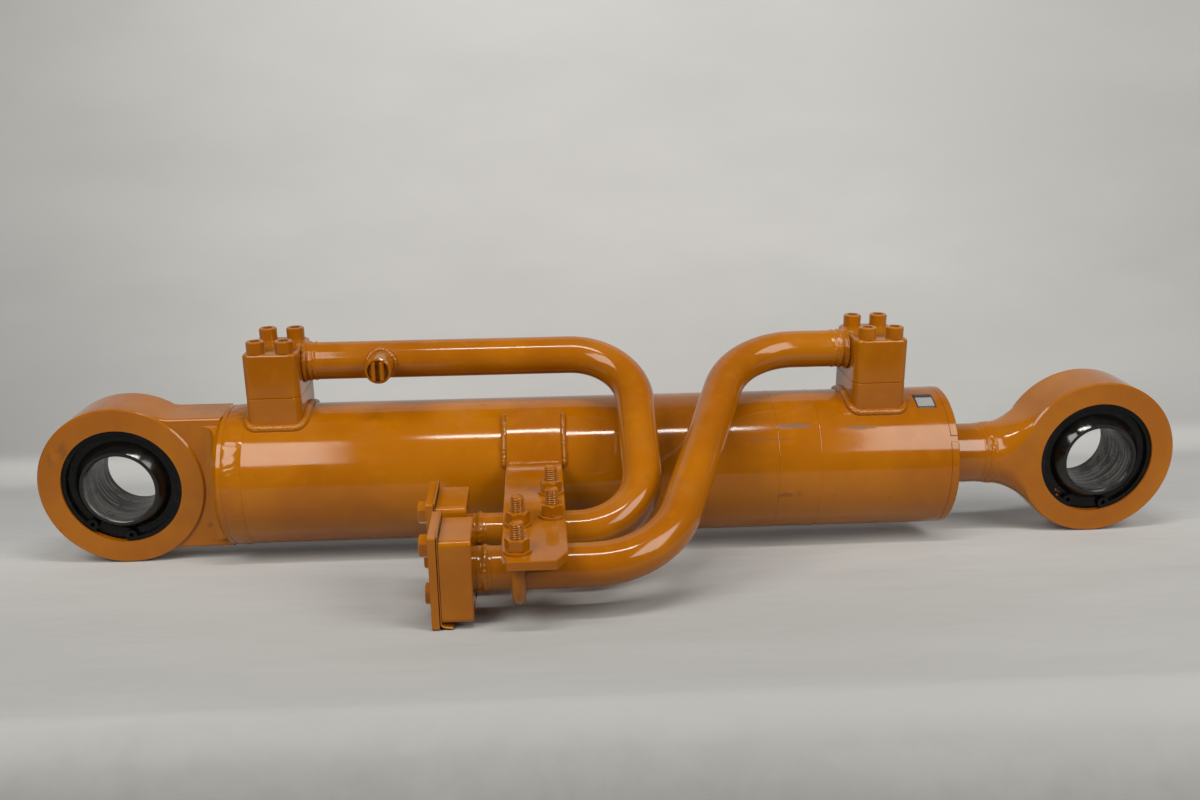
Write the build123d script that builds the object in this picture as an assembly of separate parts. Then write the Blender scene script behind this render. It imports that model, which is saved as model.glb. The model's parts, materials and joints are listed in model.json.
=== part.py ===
from build123d import *
import os
from math import asin, cos, radians, sin, sqrt

# Double-acting hydraulic cylinder with a welded cap end, a screwed gland and two hard pipes.
# Frame: origin at the centre of the cap-end pin bore, +X along the barrel to the rod eye,
# Y along both pin bores with the pipes on the -Y side, +Z up. Millimetres, rod fully in.

# ---------------------------------------------------------------- driving dimensions
PIN_TO_PIN = 1015.0
STROKE = 500.0
BORE = 125.0
BARREL_OD = 145.0
ROD_D = 63.0

# eyes and their spherical plain bearings
EYE_OD = 166.0
EYE_WIDTH = 58.0
PIN_D = 70.0
BEARING_OD = 120.0
INNER_RING_WIDTH = 70.0
OUTER_RING_WIDTH = 45.0
SPHERE_D = 105.0
SPHERE_GAP = 0.1
CIRCLIP_THICKNESS = 4.0
CIRCLIP_GROOVE_D = 124.0
CIRCLIP_INNER_D = 111.0
CAP_CIRCLIP_GAP_ANGLE = -109.0
ROD_CIRCLIP_GAP_ANGLE = -96.0

# cap end: a slab behind the eye, then a round base welded to the tube
SLAB_HALF_WIDTH = 26.5
SLAB_HALF_HEIGHT = 70.0
SLAB_END_X = 106.0
CAP_FACE_X = 148.0
WELD_START_X = 111.0
WELD_END_X = 131.0
WELD_ROOT_WIDTH = 4.0
WELD_CROWN = 1.5

# tube mouth and gland
TUBE_END_X = 842.0
GLAND_END_X = 850.6
THREAD_START_X = 812.0
THREAD_D = 129.0
GLAND_BODY_X = 790.0
GLAND_NOSE_D = 100.0

# piston on the rod's spigot; it stops just short of the gland nose when the rod is out
PISTON_X = 180.0
PISTON_LENGTH = 70.0
END_CLEARANCE = 7.0
GLAND_NOSE_X = PISTON_X + PISTON_LENGTH + STROKE + END_CLEARANCE
PISTON_D = 124.0
SPIGOT_D = 48.0
NUT_X = 152.0
ROD_TAIL_X = 150.0
ROD_THREAD_D = 45.0
SEAL_GAP = 0.3

# rod eye forging
ROD_WELD_X = 893.5
NECK_D = 66.0
NECK_BLEND_R = 60.0
HORN_CORNER_R = 9.0

# welded port bosses and the pipe blocks bolted on them (1 inch flange pattern, M12)
CAP_PORT_X = 162.0
ROD_PORT_X = 773.0
BLOCK_LENGTH = 54.0
BLOCK_DEPTH = 76.0
BLOCK_CORNER_R = 8.0
BOSS_TOP_Z = 92.0
BLOCK_TOP_Z = 137.0
PORT_D = 25.0
PATTERN_LONG = 57.15
PATTERN_SHORT = 27.76
BOLT_D = 12.0
CLEARANCE_D = 13.0
SCREW_HEAD_D = 18.0
SCREW_HEAD_HEIGHT = 12.0
SCREW_ENGAGEMENT = 21.0
BOSS_WELD_LEG = 7.0

# pipes
PIPE_OD = 38.0
PIPE_ID = 28.0
PIPE_TOP_Z = 120.0
PIPE_LOW_Z = 2.5
SOCKET_DEPTH = 6.0
CAP_PIPE_Y = -180.0
CAP_PIPE_CORNER_X = (521.0, 521.0)
CAP_PIPE_BEND_R = 64.0
ROD_PIPE_Y = -251.0
ROD_PIPE_CORNER_X = (630.0, 528.0)
ROD_PIPE_BEND_R = 88.0

# flange blocks at the hose ends, closed by blanking plates
CAP_PLATE_X = 325.0
ROD_PLATE_X = 332.5
PLATE_THICKNESS = 6.5
PLATE_WIDTH = 58.0
PLATE_HEIGHT = 83.0
GASKET_THICKNESS = 2.0
FLANGE_THICKNESS = 26.5
FLANGE_WIDTH = 55.0
FLANGE_HEIGHT = 74.0
GASKET_TAIL = 8.0
FLANGE_NECK = 9.0
HEX_AF = 18.0
HEX_HEAD_HEIGHT = 8.0

# saddle pad on the barrel, pipe clamp plate and U-bolts
PAD_X = 391.5
PAD_LENGTH = 55.0
PAD_THICKNESS = 8.0
PAD_ANGLES = (116.0, 170.0)
PAD_WELD_LEG = 6.0
PAD_FADE_ANGLE = 14.0
CLAMP_TOP_Z = 29.6
CLAMP_THICKNESS = 8.0
CLAMP_FRONT_Y = -298.0
CLAMP_CORNERS = ((5.0, 21.0), (10.0, 18.0))
CAP_UBOLT_X = 434.5
ROD_UBOLT_X = 405.0
UBOLT_HALF_SPAN = 27.5
UBOLT_TOP_Z = 56.0
WASHER_D = 24.0
WASHER_THICKNESS = 2.5
NUT_HEIGHT = 10.0

# pressure test port on the cap-side pipe
TEST_X = 268.5
TEST_BOSS_D = 26.0
TEST_BOSS_LENGTH = 27.0
TEST_RECESS_D = 21.0
TEST_RECESS_DEPTH = 6.0
TEST_THREAD_D = 14.0
TEST_WELD_LEG = 4.0

PORT_XS = (CAP_PORT_X, ROD_PORT_X)


# ---------------------------------------------------------------- small helpers
def along_x(x0, x1, diameter, y=0.0, z=0.0):
    return Pos((x0 + x1) / 2, y, z) * Rot(0, 90, 0) * Cylinder(diameter / 2, x1 - x0)


def along_y(y0, y1, diameter, x=0.0, z=0.0):
    return Pos(x, (y0 + y1) / 2, z) * Rot(90, 0, 0) * Cylinder(diameter / 2, y1 - y0)


def along_z(z0, z1, diameter, x=0.0, y=0.0):
    return Pos(x, y, (z0 + z1) / 2) * Cylinder(diameter / 2, z1 - z0)


def block(x0, x1, y0, y1, z0, z1):
    return Pos((x0 + x1) / 2, (y0 + y1) / 2, (z0 + z1) / 2) * Box(x1 - x0, y1 - y0, z1 - z0)


def turned(points):
    """A solid turned about the X axis from (x, radius) points."""
    return revolve(make_face(Polyline(*points, close=True)), Axis.X)


def ring_x(x0, x1, outer_d, inner_d):
    return along_x(x0, x1, outer_d) - along_x(x0 - 1, x1 + 1, inner_d)


def hexagon(across_flats):
    """A hexagon sketch with two corners on its local Y axis."""
    return Rot(0, 0, 90) * RegularPolygon(across_flats / sqrt(3), 6)


def pattern(long_axis):
    """Four bolt places of the flange pattern: (short, long) or (long, short) offsets."""
    places = [(i * PATTERN_SHORT / 2, j * PATTERN_LONG / 2) for i in (-1, 1) for j in (-1, 1)]
    return places if long_axis == "second" else [(b, a) for a, b in places]


def o_ring(major_r, minor_r):
    return Torus(major_r, minor_r)


def together(solids):
    return Compound(children=list(solids))


# ---------------------------------------------------------------- barrel and cap end
def cylinder_tube():
    bore, outer = BORE / 2, BARREL_OD / 2
    root = (WELD_START_X + WELD_END_X + WELD_ROOT_WIDTH) / 2
    tube = turned([(root, bore), (root, bore + 2), (WELD_END_X, outer), (TUBE_END_X, outer),
                   (TUBE_END_X, THREAD_D / 2), (THREAD_START_X, THREAD_D / 2),
                   (THREAD_START_X, bore)])
    for x in PORT_XS:
        tube -= along_z(bore - 10, outer + 5, PORT_D, x)
    return tube


def eye_cut(x):
    """The through bore of an eye with its two circlip grooves."""
    cut = along_y(-EYE_WIDTH, EYE_WIDTH, BEARING_OD, x)
    face = OUTER_RING_WIDTH / 2
    for side in (-1, 1):
        y0, y1 = sorted((side * (face + 0.05), side * (face + CIRCLIP_THICKNESS + 0.25)))
        cut += along_y(y0, y1, CIRCLIP_GROOVE_D, x)
    return cut


def eye_boss(x):
    boss = along_y(-EYE_WIDTH / 2, EYE_WIDTH / 2, EYE_OD, x)
    return chamfer(boss.edges().filter_by(GeomType.CIRCLE), 1.5)


def cap_end():
    outer = BARREL_OD / 2
    outline = Circle(EYE_OD / 2) + Pos(SLAB_END_X / 2, 0) * Rectangle(SLAB_END_X, 2 * SLAB_HALF_HEIGHT)
    corners = outline.vertices().filter_by(lambda v: v.X < SLAB_END_X - 20)
    outline = fillet(corners, 40.0)
    slab = extrude(Rot(90, 0, 0) * outline, SLAB_HALF_WIDTH, both=True)
    sides = slab.faces().filter_by(Axis.Y)
    slab = fillet(sides[0].edges() + sides[1].edges(), 3.0)
    root = (WELD_START_X + WELD_END_X - WELD_ROOT_WIDTH) / 2
    spigot = BORE / 2 - 0.05
    base = turned([(SLAB_END_X - 4, 0), (SLAB_END_X - 4, outer - 5), (SLAB_END_X + 1, outer),
                   (WELD_START_X, outer), (root, spigot + 2), (root, spigot),
                   (CAP_FACE_X - 2, spigot), (CAP_FACE_X, spigot - 2), (CAP_FACE_X, 0)])
    shape = slab + base
    blend_r = 18.0
    reach = SLAB_END_X - 4 - blend_r
    for side in (-1, 1):
        y0, y1 = sorted((side * (SLAB_HALF_WIDTH - 2), side * (SLAB_HALF_WIDTH + blend_r)))
        web = block(reach, SLAB_END_X - 3, y0, y1, -outer, outer)
        web -= along_z(-outer - 1, outer + 1, 2 * blend_r, reach, side * (SLAB_HALF_WIDTH + blend_r))
        shape += web & along_x(reach, SLAB_END_X, BARREL_OD - 10)
    return shape + eye_boss(0) - eye_cut(0)


def cap_weld():
    outer, root_r = BARREL_OD / 2, BORE / 2 + 2
    middle = (WELD_START_X + WELD_END_X) / 2
    crown = ThreePointArc((WELD_START_X, outer), (middle, outer + WELD_CROWN), (WELD_END_X, outer))
    half = WELD_ROOT_WIDTH / 2
    rest = Polyline((WELD_END_X, outer), (middle + half, root_r), (middle - half, root_r),
                    (WELD_START_X, outer))
    return revolve(make_face(crown + rest), Axis.X)


# ---------------------------------------------------------------- spherical plain bearings
def bearing_outer_ring(x):
    half = OUTER_RING_WIDTH / 2
    return along_y(-half, half, BEARING_OD, x) - Pos(x, 0, 0) * Sphere(SPHERE_D / 2 + SPHERE_GAP)


def bearing_inner_ring(x):
    """A ball cut off flat at both sides, bored for the pin, with a small lead-in each side."""
    half, lead = INNER_RING_WIDTH / 2, 1.0
    ring = Pos(x, 0, 0) * Sphere(SPHERE_D / 2) & block(x - 80, x + 80, -half, half, -80, 80)
    ring -= along_y(-half - 1, half + 1, PIN_D, x)
    for side in (-1, 1):
        cone = Cone(PIN_D / 2 + lead, PIN_D / 2, lead)
        ring -= Pos(x, side * (half - lead / 2), 0) * Rot(90 * side, 0, 0) * cone
    return ring


def circlips(x, gap_angle):
    """Two internal circlips with eyelets, their gap centred on gap_angle about the pin axis."""
    groove_r, inner_r = CIRCLIP_GROOVE_D / 2, CIRCLIP_INNER_D / 2
    half_gap = 17.0
    lug_r, lug_at = 6.0, inner_r - 1.2
    profile = Circle(groove_r) - Circle(inner_r)
    far = 2 * groove_r
    wedge = Polyline((0, 0), (far * cos(radians(half_gap)), far * sin(radians(half_gap))),
                     (far * cos(radians(half_gap)), -far * sin(radians(half_gap))), close=True)
    profile -= make_face(wedge)
    for side in (-1, 1):
        place = Rot(0, 0, side * (half_gap + 4.5))
        lug = place * (Pos(lug_at, 0) * Circle(lug_r) + Pos(lug_at + 3, 0) * Rectangle(6, 10))
        profile += lug
        profile -= place * Pos(lug_at - 0.5, 0) * Circle(2.25)
    ring = Rot(0, 0, gap_angle) * extrude(profile, CIRCLIP_THICKNESS)
    upright = Rot(90, 0, 0) * ring
    near = OUTER_RING_WIDTH / 2 + 0.15
    return together([Pos(x, -near, 0) * upright, Pos(x, near + CIRCLIP_THICKNESS, 0) * upright])


# ---------------------------------------------------------------- gland and rod seals
GLAND_BORE_D = ROD_D + 0.8
BUSH = (761.0, 787.0, 68.0)
BUFFER = (795.0, 801.5, 78.0)
ROD_SEAL = (808.0, 820.0, 79.0)
WIPER = (838.0, GLAND_END_X - 1.5, 76.0)
GLAND_SEAL = (799.0, 808.0, 116.0)


def gland():
    outer = BARREL_OD / 2
    shape = turned([(GLAND_NOSE_X, GLAND_BORE_D / 2), (GLAND_NOSE_X, GLAND_NOSE_D / 2 - 3),
                    (GLAND_NOSE_X + 3, GLAND_NOSE_D / 2), (GLAND_BODY_X, GLAND_NOSE_D / 2),
                    (GLAND_BODY_X, BORE / 2 - 2), (GLAND_BODY_X + 2, BORE / 2 - 0.05),
                    (THREAD_START_X, BORE / 2 - 0.05), (THREAD_START_X, THREAD_D / 2 - 0.05),
                    (TUBE_END_X, THREAD_D / 2 - 0.05), (TUBE_END_X, outer - 0.8),
                    (TUBE_END_X + 0.8, outer), (GLAND_END_X - 1.2, outer),
                    (GLAND_END_X, outer - 1.2), (GLAND_END_X, GLAND_BORE_D / 2)])
    for x0, x1, diameter in (BUSH, BUFFER, ROD_SEAL):
        shape -= along_x(x0, x1, diameter)
    shape -= along_x(WIPER[0], GLAND_END_X + 1, WIPER[2])
    shape -= ring_x(GLAND_SEAL[0], GLAND_SEAL[1], BORE + 5, GLAND_SEAL[2])
    for k in range(4):
        angle = radians(45 + 90 * k)
        shape -= along_x(GLAND_END_X - 7, GLAND_END_X + 1, 10.0, 56 * cos(angle), 56 * sin(angle))
    return shape - lock_key_slot()


KEY_ANGLE = 148.0


def lock_key_slot():
    slot = block(TUBE_END_X, GLAND_END_X + 1, BARREL_OD / 2 - 4, BARREL_OD / 2 + 2, -3.5, 3.5)
    return Rot(KEY_ANGLE, 0, 0) * slot


def gland_lock_key():
    key = block(TUBE_END_X, GLAND_END_X - 1, BARREL_OD / 2 - 4, BARREL_OD / 2 - 1.2, -3.5, 3.5)
    return Rot(KEY_ANGLE, 0, 0) * chamfer(key.edges().filter_by(Axis.X).sort_by(Axis.Y)[-2:], 0.5)


def gland_bush():
    return ring_x(BUSH[0] + 0.2, BUSH[1] - 0.2, BUSH[2], ROD_D + 0.2)


def gland_buffer_seal():
    x0, x1, diameter = BUFFER
    lip = ROD_D / 2 + SEAL_GAP
    return turned([(x0 + 0.3, lip), (x0 + 0.3, diameter / 2 - 2), (x0 + 1.8, diameter / 2),
                   (x1 - 0.3, diameter / 2), (x1 - 0.3, lip + 0.6), (x0 + 2.5, lip)])


def rod_seal():
    """A U-cup: two lips that open towards the pressure side."""
    x0, x1, diameter = ROD_SEAL
    lip, heel = ROD_D / 2 + SEAL_GAP, diameter / 2
    middle = (lip + heel) / 2
    return turned([(x0 + 0.3, lip), (x0 + 0.3, middle - 1.2), (x0 + 5, middle), (x0 + 0.3, middle + 1.2),
                   (x0 + 0.3, heel), (x1 - 0.3, heel), (x1 - 0.3, lip + 0.5), (x0 + 4, lip)])


def rod_wiper():
    x0, x1, diameter = WIPER
    lip = ROD_D / 2 + SEAL_GAP
    return turned([(x0 + 0.2, lip + 1), (x0 + 0.2, diameter / 2), (x1, diameter / 2),
                   (x1, lip + 2.5), (x1 + 2.2, lip), (x0 + 3, lip + 1)])


def gland_o_ring():
    minor = (BORE - GLAND_SEAL[2]) / 4 - 0.05
    return Pos(GLAND_SEAL[0] + 0.2 + minor, 0, 0) * Rot(0, 90, 0) * o_ring(BORE / 2 - minor - 0.02, minor)


def gland_backup_ring():
    return ring_x(GLAND_SEAL[1] - 2.6, GLAND_SEAL[1] - 0.2, BORE - 0.2, GLAND_SEAL[2])


# ---------------------------------------------------------------- ports
def rounded_column(x, z0, z1):
    column = block(x - BLOCK_LENGTH / 2, x + BLOCK_LENGTH / 2, -BLOCK_DEPTH / 2, BLOCK_DEPTH / 2, z0, z1)
    return fillet(column.edges().filter_by(Axis.Z), BLOCK_CORNER_R)


def port_boss(x):
    boss = rounded_column(x, 50, BOSS_TOP_Z)
    boss = chamfer(boss.faces().sort_by(Axis.Z)[-1].edges(), 0.8) - along_x(x - 60, x + 60, BARREL_OD)
    boss -= along_z(40, BOSS_TOP_Z + 1, PORT_D, x)
    for dx, dy in pattern("second"):
        boss -= along_z(BOSS_TOP_Z - SCREW_ENGAGEMENT - 1, BOSS_TOP_Z + 1, BOLT_D + 0.1, x + dx, dy)
    return boss


def port_boss_weld(x):
    """A fillet weld around a boss: the band between the boss and the tube, leg by leg."""
    leg = BOSS_WELD_LEG
    half_x, half_y = BLOCK_LENGTH / 2, BLOCK_DEPTH / 2
    skirt = extrude(Pos(x, 0, 45) * RectangleRounded(2 * (half_x + leg), 2 * (half_y + leg),
                                                     BLOCK_CORNER_R + leg), 40)
    shell = skirt & along_x(x - 60, x + 60, BARREL_OD + 2 * 4.0)
    shell -= along_x(x - 70, x + 70, BARREL_OD)
    shell -= extrude(Pos(x, 0, 40) * RectangleRounded(2 * half_x, 2 * half_y, BLOCK_CORNER_R), 60)
    return shell


def pipe_block(x, side):
    """side is +1 where the pipe leaves towards +X and -1 where it leaves towards -X."""
    shape = rounded_column(x, BOSS_TOP_Z, BLOCK_TOP_Z)
    shape = fillet(shape.faces().sort_by(Axis.Z)[-1].edges(), 3.0)
    shape = chamfer(shape.faces().sort_by(Axis.Z)[0].edges(), 0.8)
    face = x + side * BLOCK_LENGTH / 2
    socket = face - side * SOCKET_DEPTH
    shape -= along_z(BOSS_TOP_Z - 1, PIPE_TOP_Z, PORT_D, x)
    shape -= along_x(*sorted((x, socket)), PIPE_ID, 0, PIPE_TOP_Z)
    shape -= Pos(x, 0, PIPE_TOP_Z) * Sphere(PIPE_ID / 2)
    shape -= along_x(*sorted((socket, face + side)), PIPE_OD, 0, PIPE_TOP_Z)
    groove = along_z(BOSS_TOP_Z - 1, BOSS_TOP_Z + 3, 40.0, x) - along_z(0, BLOCK_TOP_Z, 32.0, x)
    shape -= groove
    for dx, dy in pattern("second"):
        shape -= along_z(BOSS_TOP_Z - 1, BLOCK_TOP_Z + 1, CLEARANCE_D, x + dx, dy)
    return shape


def block_o_rings():
    return together([Pos(x, 0, BOSS_TOP_Z + 1.5) * o_ring(18.0, 1.5) for x in PORT_XS])


def socket_screw(x, y):
    top = BLOCK_TOP_Z + SCREW_HEAD_HEIGHT
    head = along_z(BLOCK_TOP_Z, top, SCREW_HEAD_D, x, y)
    head = chamfer(head.edges().sort_by(Axis.Z)[-1], 1.0)
    hexagon_socket = extrude(Pos(x, y, top - 6) * hexagon(10.0), 7)
    return head + along_z(BOSS_TOP_Z - SCREW_ENGAGEMENT, BLOCK_TOP_Z, BOLT_D, x, y) - hexagon_socket


def block_screws():
    return together([socket_screw(x + dx, dy) for x in PORT_XS for dx, dy in pattern("second")])


# ---------------------------------------------------------------- pipes
def pipe_route(start_x, corner_x, y, end_x, bend_r):
    points = [(start_x, 0, PIPE_TOP_Z), (corner_x[0], 0, PIPE_TOP_Z),
              (corner_x[1], y, PIPE_LOW_Z), (end_x, y, PIPE_LOW_Z)]
    return FilletPolyline(*points, radius=bend_r)


def swept(route, diameter):
    section = Plane(origin=route @ 0, z_dir=route % 0) * Circle(diameter / 2)
    return sweep(section, path=route)


def bent_pipe(route):
    return swept(route, PIPE_OD) - swept(route, PIPE_ID)


def flange_face_x(plate_x):
    return plate_x + PLATE_THICKNESS + GASKET_THICKNESS


def pipe_start_x(plate_x):
    """Where the pipe meets the neck of its flange block."""
    return flange_face_x(plate_x) + FLANGE_THICKNESS + FLANGE_NECK


def cap_side_pipe():
    start = CAP_PORT_X + BLOCK_LENGTH / 2 - SOCKET_DEPTH
    route = pipe_route(start, CAP_PIPE_CORNER_X, CAP_PIPE_Y, pipe_start_x(CAP_PLATE_X), CAP_PIPE_BEND_R)
    return bent_pipe(route) - along_y(-PIPE_OD, 0, 8.0, TEST_X, PIPE_TOP_Z)


def rod_side_pipe():
    start = ROD_PORT_X - BLOCK_LENGTH / 2 + SOCKET_DEPTH
    route = pipe_route(start, ROD_PIPE_CORNER_X, ROD_PIPE_Y, pipe_start_x(ROD_PLATE_X), ROD_PIPE_BEND_R)
    return bent_pipe(route)


def pipe_block_welds():
    """A fillet ring where each pipe leaves its block."""
    rings, leg, wall = [], 6.0, PIPE_OD / 2
    for x, side in ((CAP_PORT_X, 1), (ROD_PORT_X, -1)):
        face = x + side * BLOCK_LENGTH / 2
        hollow = ThreePointArc((face, wall + leg), (face + side * 3.4, wall + 3.6), (face + side * 8, wall))
        rest = Polyline((face + side * 8, wall), (face, wall), (face, wall + leg))
        rings.append(Pos(0, 0, PIPE_TOP_Z) * revolve(make_face(hollow + rest), Axis.X))
    return together(rings)


def pipe_flange_welds():
    """A butt-weld bead where each pipe meets its flange neck."""
    rings, wall = [], PIPE_OD / 2
    for plate_x, y in ((CAP_PLATE_X, CAP_PIPE_Y), (ROD_PLATE_X, ROD_PIPE_Y)):
        x = pipe_start_x(plate_x)
        crown = ThreePointArc((x - 4, wall), (x, wall + 2), (x + 4, wall))
        ring = revolve(make_face(crown + Line((x + 4, wall), (x - 4, wall))), Axis.X)
        rings.append(Pos(0, y, PIPE_LOW_Z) * ring)
    return together(rings)


# ---------------------------------------------------------------- flange ends
def flange_block(plate_x, y):
    x0 = flange_face_x(plate_x)
    x1 = x0 + FLANGE_THICKNESS
    half_y, half_z = FLANGE_WIDTH / 2, FLANGE_HEIGHT / 2
    shape = block(x0, x1, y - half_y, y + half_y, PIPE_LOW_Z - half_z, PIPE_LOW_Z + half_z)
    shape = fillet(shape.edges().filter_by(Axis.X), 5.0)
    shape = fillet(shape.faces().sort_by(Axis.X)[-1].edges(), 2.0)
    shape += along_x(x1, x1 + FLANGE_NECK, PIPE_OD, y, PIPE_LOW_Z)
    shape -= along_x(x0 - 1, x1 + FLANGE_NECK + 1, PIPE_ID, y, PIPE_LOW_Z)
    groove = along_x(x0 - 1, x0 + 3, 40.0, y, PIPE_LOW_Z) - along_x(x0 - 1, x0 + 4, 32.0, y, PIPE_LOW_Z)
    shape -= groove
    for dy, dz in pattern("second"):
        shape -= along_x(x0 - 1, x1 + 1, BOLT_D + 0.1, y + dy, PIPE_LOW_Z + dz)
    return shape


def flange_o_rings():
    rings = []
    for plate_x, y in ((CAP_PLATE_X, CAP_PIPE_Y), (ROD_PLATE_X, ROD_PIPE_Y)):
        rings.append(Pos(flange_face_x(plate_x) + 1.5, y, PIPE_LOW_Z) * Rot(0, 90, 0) * o_ring(18.0, 1.5))
    return together(rings)


def used_bolt_places(y):
    """The two diagonal holes that carry the blanking bolts."""
    return [(y - PATTERN_SHORT / 2, PIPE_LOW_Z + PATTERN_LONG / 2),
            (y + PATTERN_SHORT / 2, PIPE_LOW_Z - PATTERN_LONG / 2)]


def blanking_plate(plate_x, y):
    half_y, half_z = PLATE_WIDTH / 2, PLATE_HEIGHT / 2
    shape = block(plate_x, plate_x + PLATE_THICKNESS, y - half_y, y + half_y,
                  PIPE_LOW_Z - half_z, PIPE_LOW_Z + half_z)
    shape = fillet(shape.edges().filter_by(Axis.X), 2.0)
    for by, bz in used_bolt_places(y):
        shape -= along_x(plate_x - 1, plate_x + PLATE_THICKNESS + 1, CLEARANCE_D, by, bz)
    return shape


def gasket_sheet(plate_x, y):
    """A loose rubber sheet, taller than the block, with its tail bent under the block."""
    x0 = plate_x + PLATE_THICKNESS
    x1 = x0 + GASKET_THICKNESS
    inner_r = 1.5
    outer_r = inner_r + GASKET_THICKNESS
    top = PIPE_LOW_Z + PLATE_HEIGHT / 2 + 1.5
    turn_z = PIPE_LOW_Z - FLANGE_HEIGHT / 2 - 0.9
    cx, tail_x = x1 + inner_r, x1 + inner_r + GASKET_TAIL
    diagonal = sqrt(0.5)
    inside = ThreePointArc((x1, turn_z), (cx - inner_r * diagonal, turn_z - inner_r * diagonal),
                           (cx, turn_z - inner_r))
    outside = ThreePointArc((cx, turn_z - outer_r), (cx - outer_r * diagonal, turn_z - outer_r * diagonal),
                            (x0, turn_z))
    outline = (Polyline((x0, turn_z), (x0, top), (x1, top), (x1, turn_z)) + inside
               + Polyline((cx, turn_z - inner_r), (tail_x, turn_z - inner_r), (tail_x, turn_z - outer_r),
                          (cx, turn_z - outer_r)) + outside)
    sheet = extrude(Pos(0, y, 0) * Rot(90, 0, 0) * make_face(outline), FLANGE_WIDTH / 2 + 0.5, both=True)
    sheet -= along_x(x0 - 1, x1 + 1, PIPE_ID, y, PIPE_LOW_Z)
    for by, bz in used_bolt_places(y):
        sheet -= along_x(x0 - 1, x1 + 1, CLEARANCE_D, by, bz)
    return sheet


def hex_bolt(plate_x, y, z):
    head = extrude(Plane.YZ * Pos(y, z) * hexagon(HEX_AF), HEX_HEAD_HEIGHT)
    head = Pos(plate_x - HEX_HEAD_HEIGHT, 0, 0) * head
    head &= hex_head_envelope(plate_x, y, z)
    tip = flange_face_x(plate_x) + FLANGE_THICKNESS - 2
    return head + along_x(plate_x, tip, BOLT_D, y, z)


def hex_head_envelope(plate_x, y, z):
    """The round-cornered envelope of a hex head whose seat is at plate_x."""
    corner, face = HEX_AF / sqrt(3) + 0.1, HEX_AF / 2 - 0.4
    x0 = plate_x - HEX_HEAD_HEIGHT
    cone = turned([(x0, 0), (x0, face), (x0 + 1.2, corner), (plate_x, corner), (plate_x, 0)])
    return Pos(0, y, z) * cone


def blanking_bolts():
    return together([hex_bolt(plate_x, by, bz) for plate_x, y in ((CAP_PLATE_X, CAP_PIPE_Y),
                                                                   (ROD_PLATE_X, ROD_PIPE_Y))
                     for by, bz in used_bolt_places(y)])


# ---------------------------------------------------------------- saddle, clamp plate, U-bolts
def swept_sector(points):
    """A section of (x, radius) points turned about X over the pad's angles."""
    face = make_face(Polyline(*points, close=True))
    return Rot(PAD_ANGLES[0], 0, 0) * revolve(face, Axis.X, PAD_ANGLES[1] - PAD_ANGLES[0])


def saddle_pad():
    inner, outer = BARREL_OD / 2, BARREL_OD / 2 + PAD_THICKNESS
    x1 = PAD_X + PAD_LENGTH
    return swept_sector([(PAD_X, inner), (PAD_X, outer - 1), (PAD_X + 1, outer), (x1 - 1, outer),
                         (x1, outer - 1), (x1, inner)])


def saddle_welds():
    inner, leg, x1 = BARREL_OD / 2, PAD_WELD_LEG, PAD_X + PAD_LENGTH
    sides = [[(PAD_X - leg, inner), (PAD_X, inner), (PAD_X, inner + leg), (PAD_X - 3.6, inner + 3.4)],
             [(x1 + leg, inner), (x1, inner), (x1, inner + leg), (x1 + 3.6, inner + 3.4)]]
    welds = [swept_sector(points) for points in sides]
    edge = [(inner - 1, PAD_ANGLES[0]), (inner + PAD_THICKNESS - 1, PAD_ANGLES[0]),
            (inner + 3, PAD_ANGLES[0] - 6), (inner - 0.5, PAD_ANGLES[0] - PAD_FADE_ANGLE)]
    section = Polyline(*[(r * cos(radians(a)), r * sin(radians(a))) for r, a in edge], close=True)
    upper = Pos(PAD_X, 0, 0) * extrude(Plane.YZ * make_face(section), PAD_LENGTH)
    welds.append(upper - along_x(PAD_X - 1, x1 + 1, BARREL_OD))
    return together(welds)


def clamp_plate():
    x1 = PAD_X + PAD_LENGTH
    (near_x, near_y), (far_x, far_y) = CLAMP_CORNERS
    outline = Polyline((PAD_X, -60), (x1, -60), (x1, CLAMP_FRONT_Y + far_y), (x1 - far_x, CLAMP_FRONT_Y),
                       (PAD_X + near_x, CLAMP_FRONT_Y), (PAD_X, CLAMP_FRONT_Y + near_y), close=True)
    plate = extrude(Pos(0, 0, CLAMP_TOP_Z - CLAMP_THICKNESS) * make_face(outline), CLAMP_THICKNESS)
    plate -= along_x(PAD_X - 5, x1 + 5, BARREL_OD + 2 * PAD_THICKNESS)
    for x, y in ubolt_legs():
        plate -= along_z(0, CLAMP_TOP_Z + 1, CLEARANCE_D + 0.5, x, y)
    return chamfer(plate.edges().group_by(Axis.Z)[-1], 0.8)


def clamp_plate_welds():
    x0, x1, pad_r = PAD_X + 1, PAD_X + PAD_LENGTH - 1, BARREL_OD / 2 + PAD_THICKNESS
    beads = []
    for z, up in ((CLAMP_TOP_Z, 1), (CLAMP_TOP_Z - CLAMP_THICKNESS, -1)):
        corner_y = -sqrt(pad_r ** 2 - z ** 2)
        section = Polyline((corner_y - 5, z), (corner_y + 3, z), (corner_y + 3, z + up * 5),
                           (corner_y - 0.4, z + up * 4.6), close=True)
        bead = extrude(Plane.YZ * make_face(section), x1 - x0)
        beads.append(Pos(x0, 0, 0) * bead - along_x(x0 - 5, x1 + 5, 2 * pad_r))
    return together(beads)


def ubolt_legs():
    return [(x, y + side * UBOLT_HALF_SPAN) for x, y in ((CAP_UBOLT_X, CAP_PIPE_Y),
                                                         (ROD_UBOLT_X, ROD_PIPE_Y))
            for side in (-1, 1)]


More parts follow.
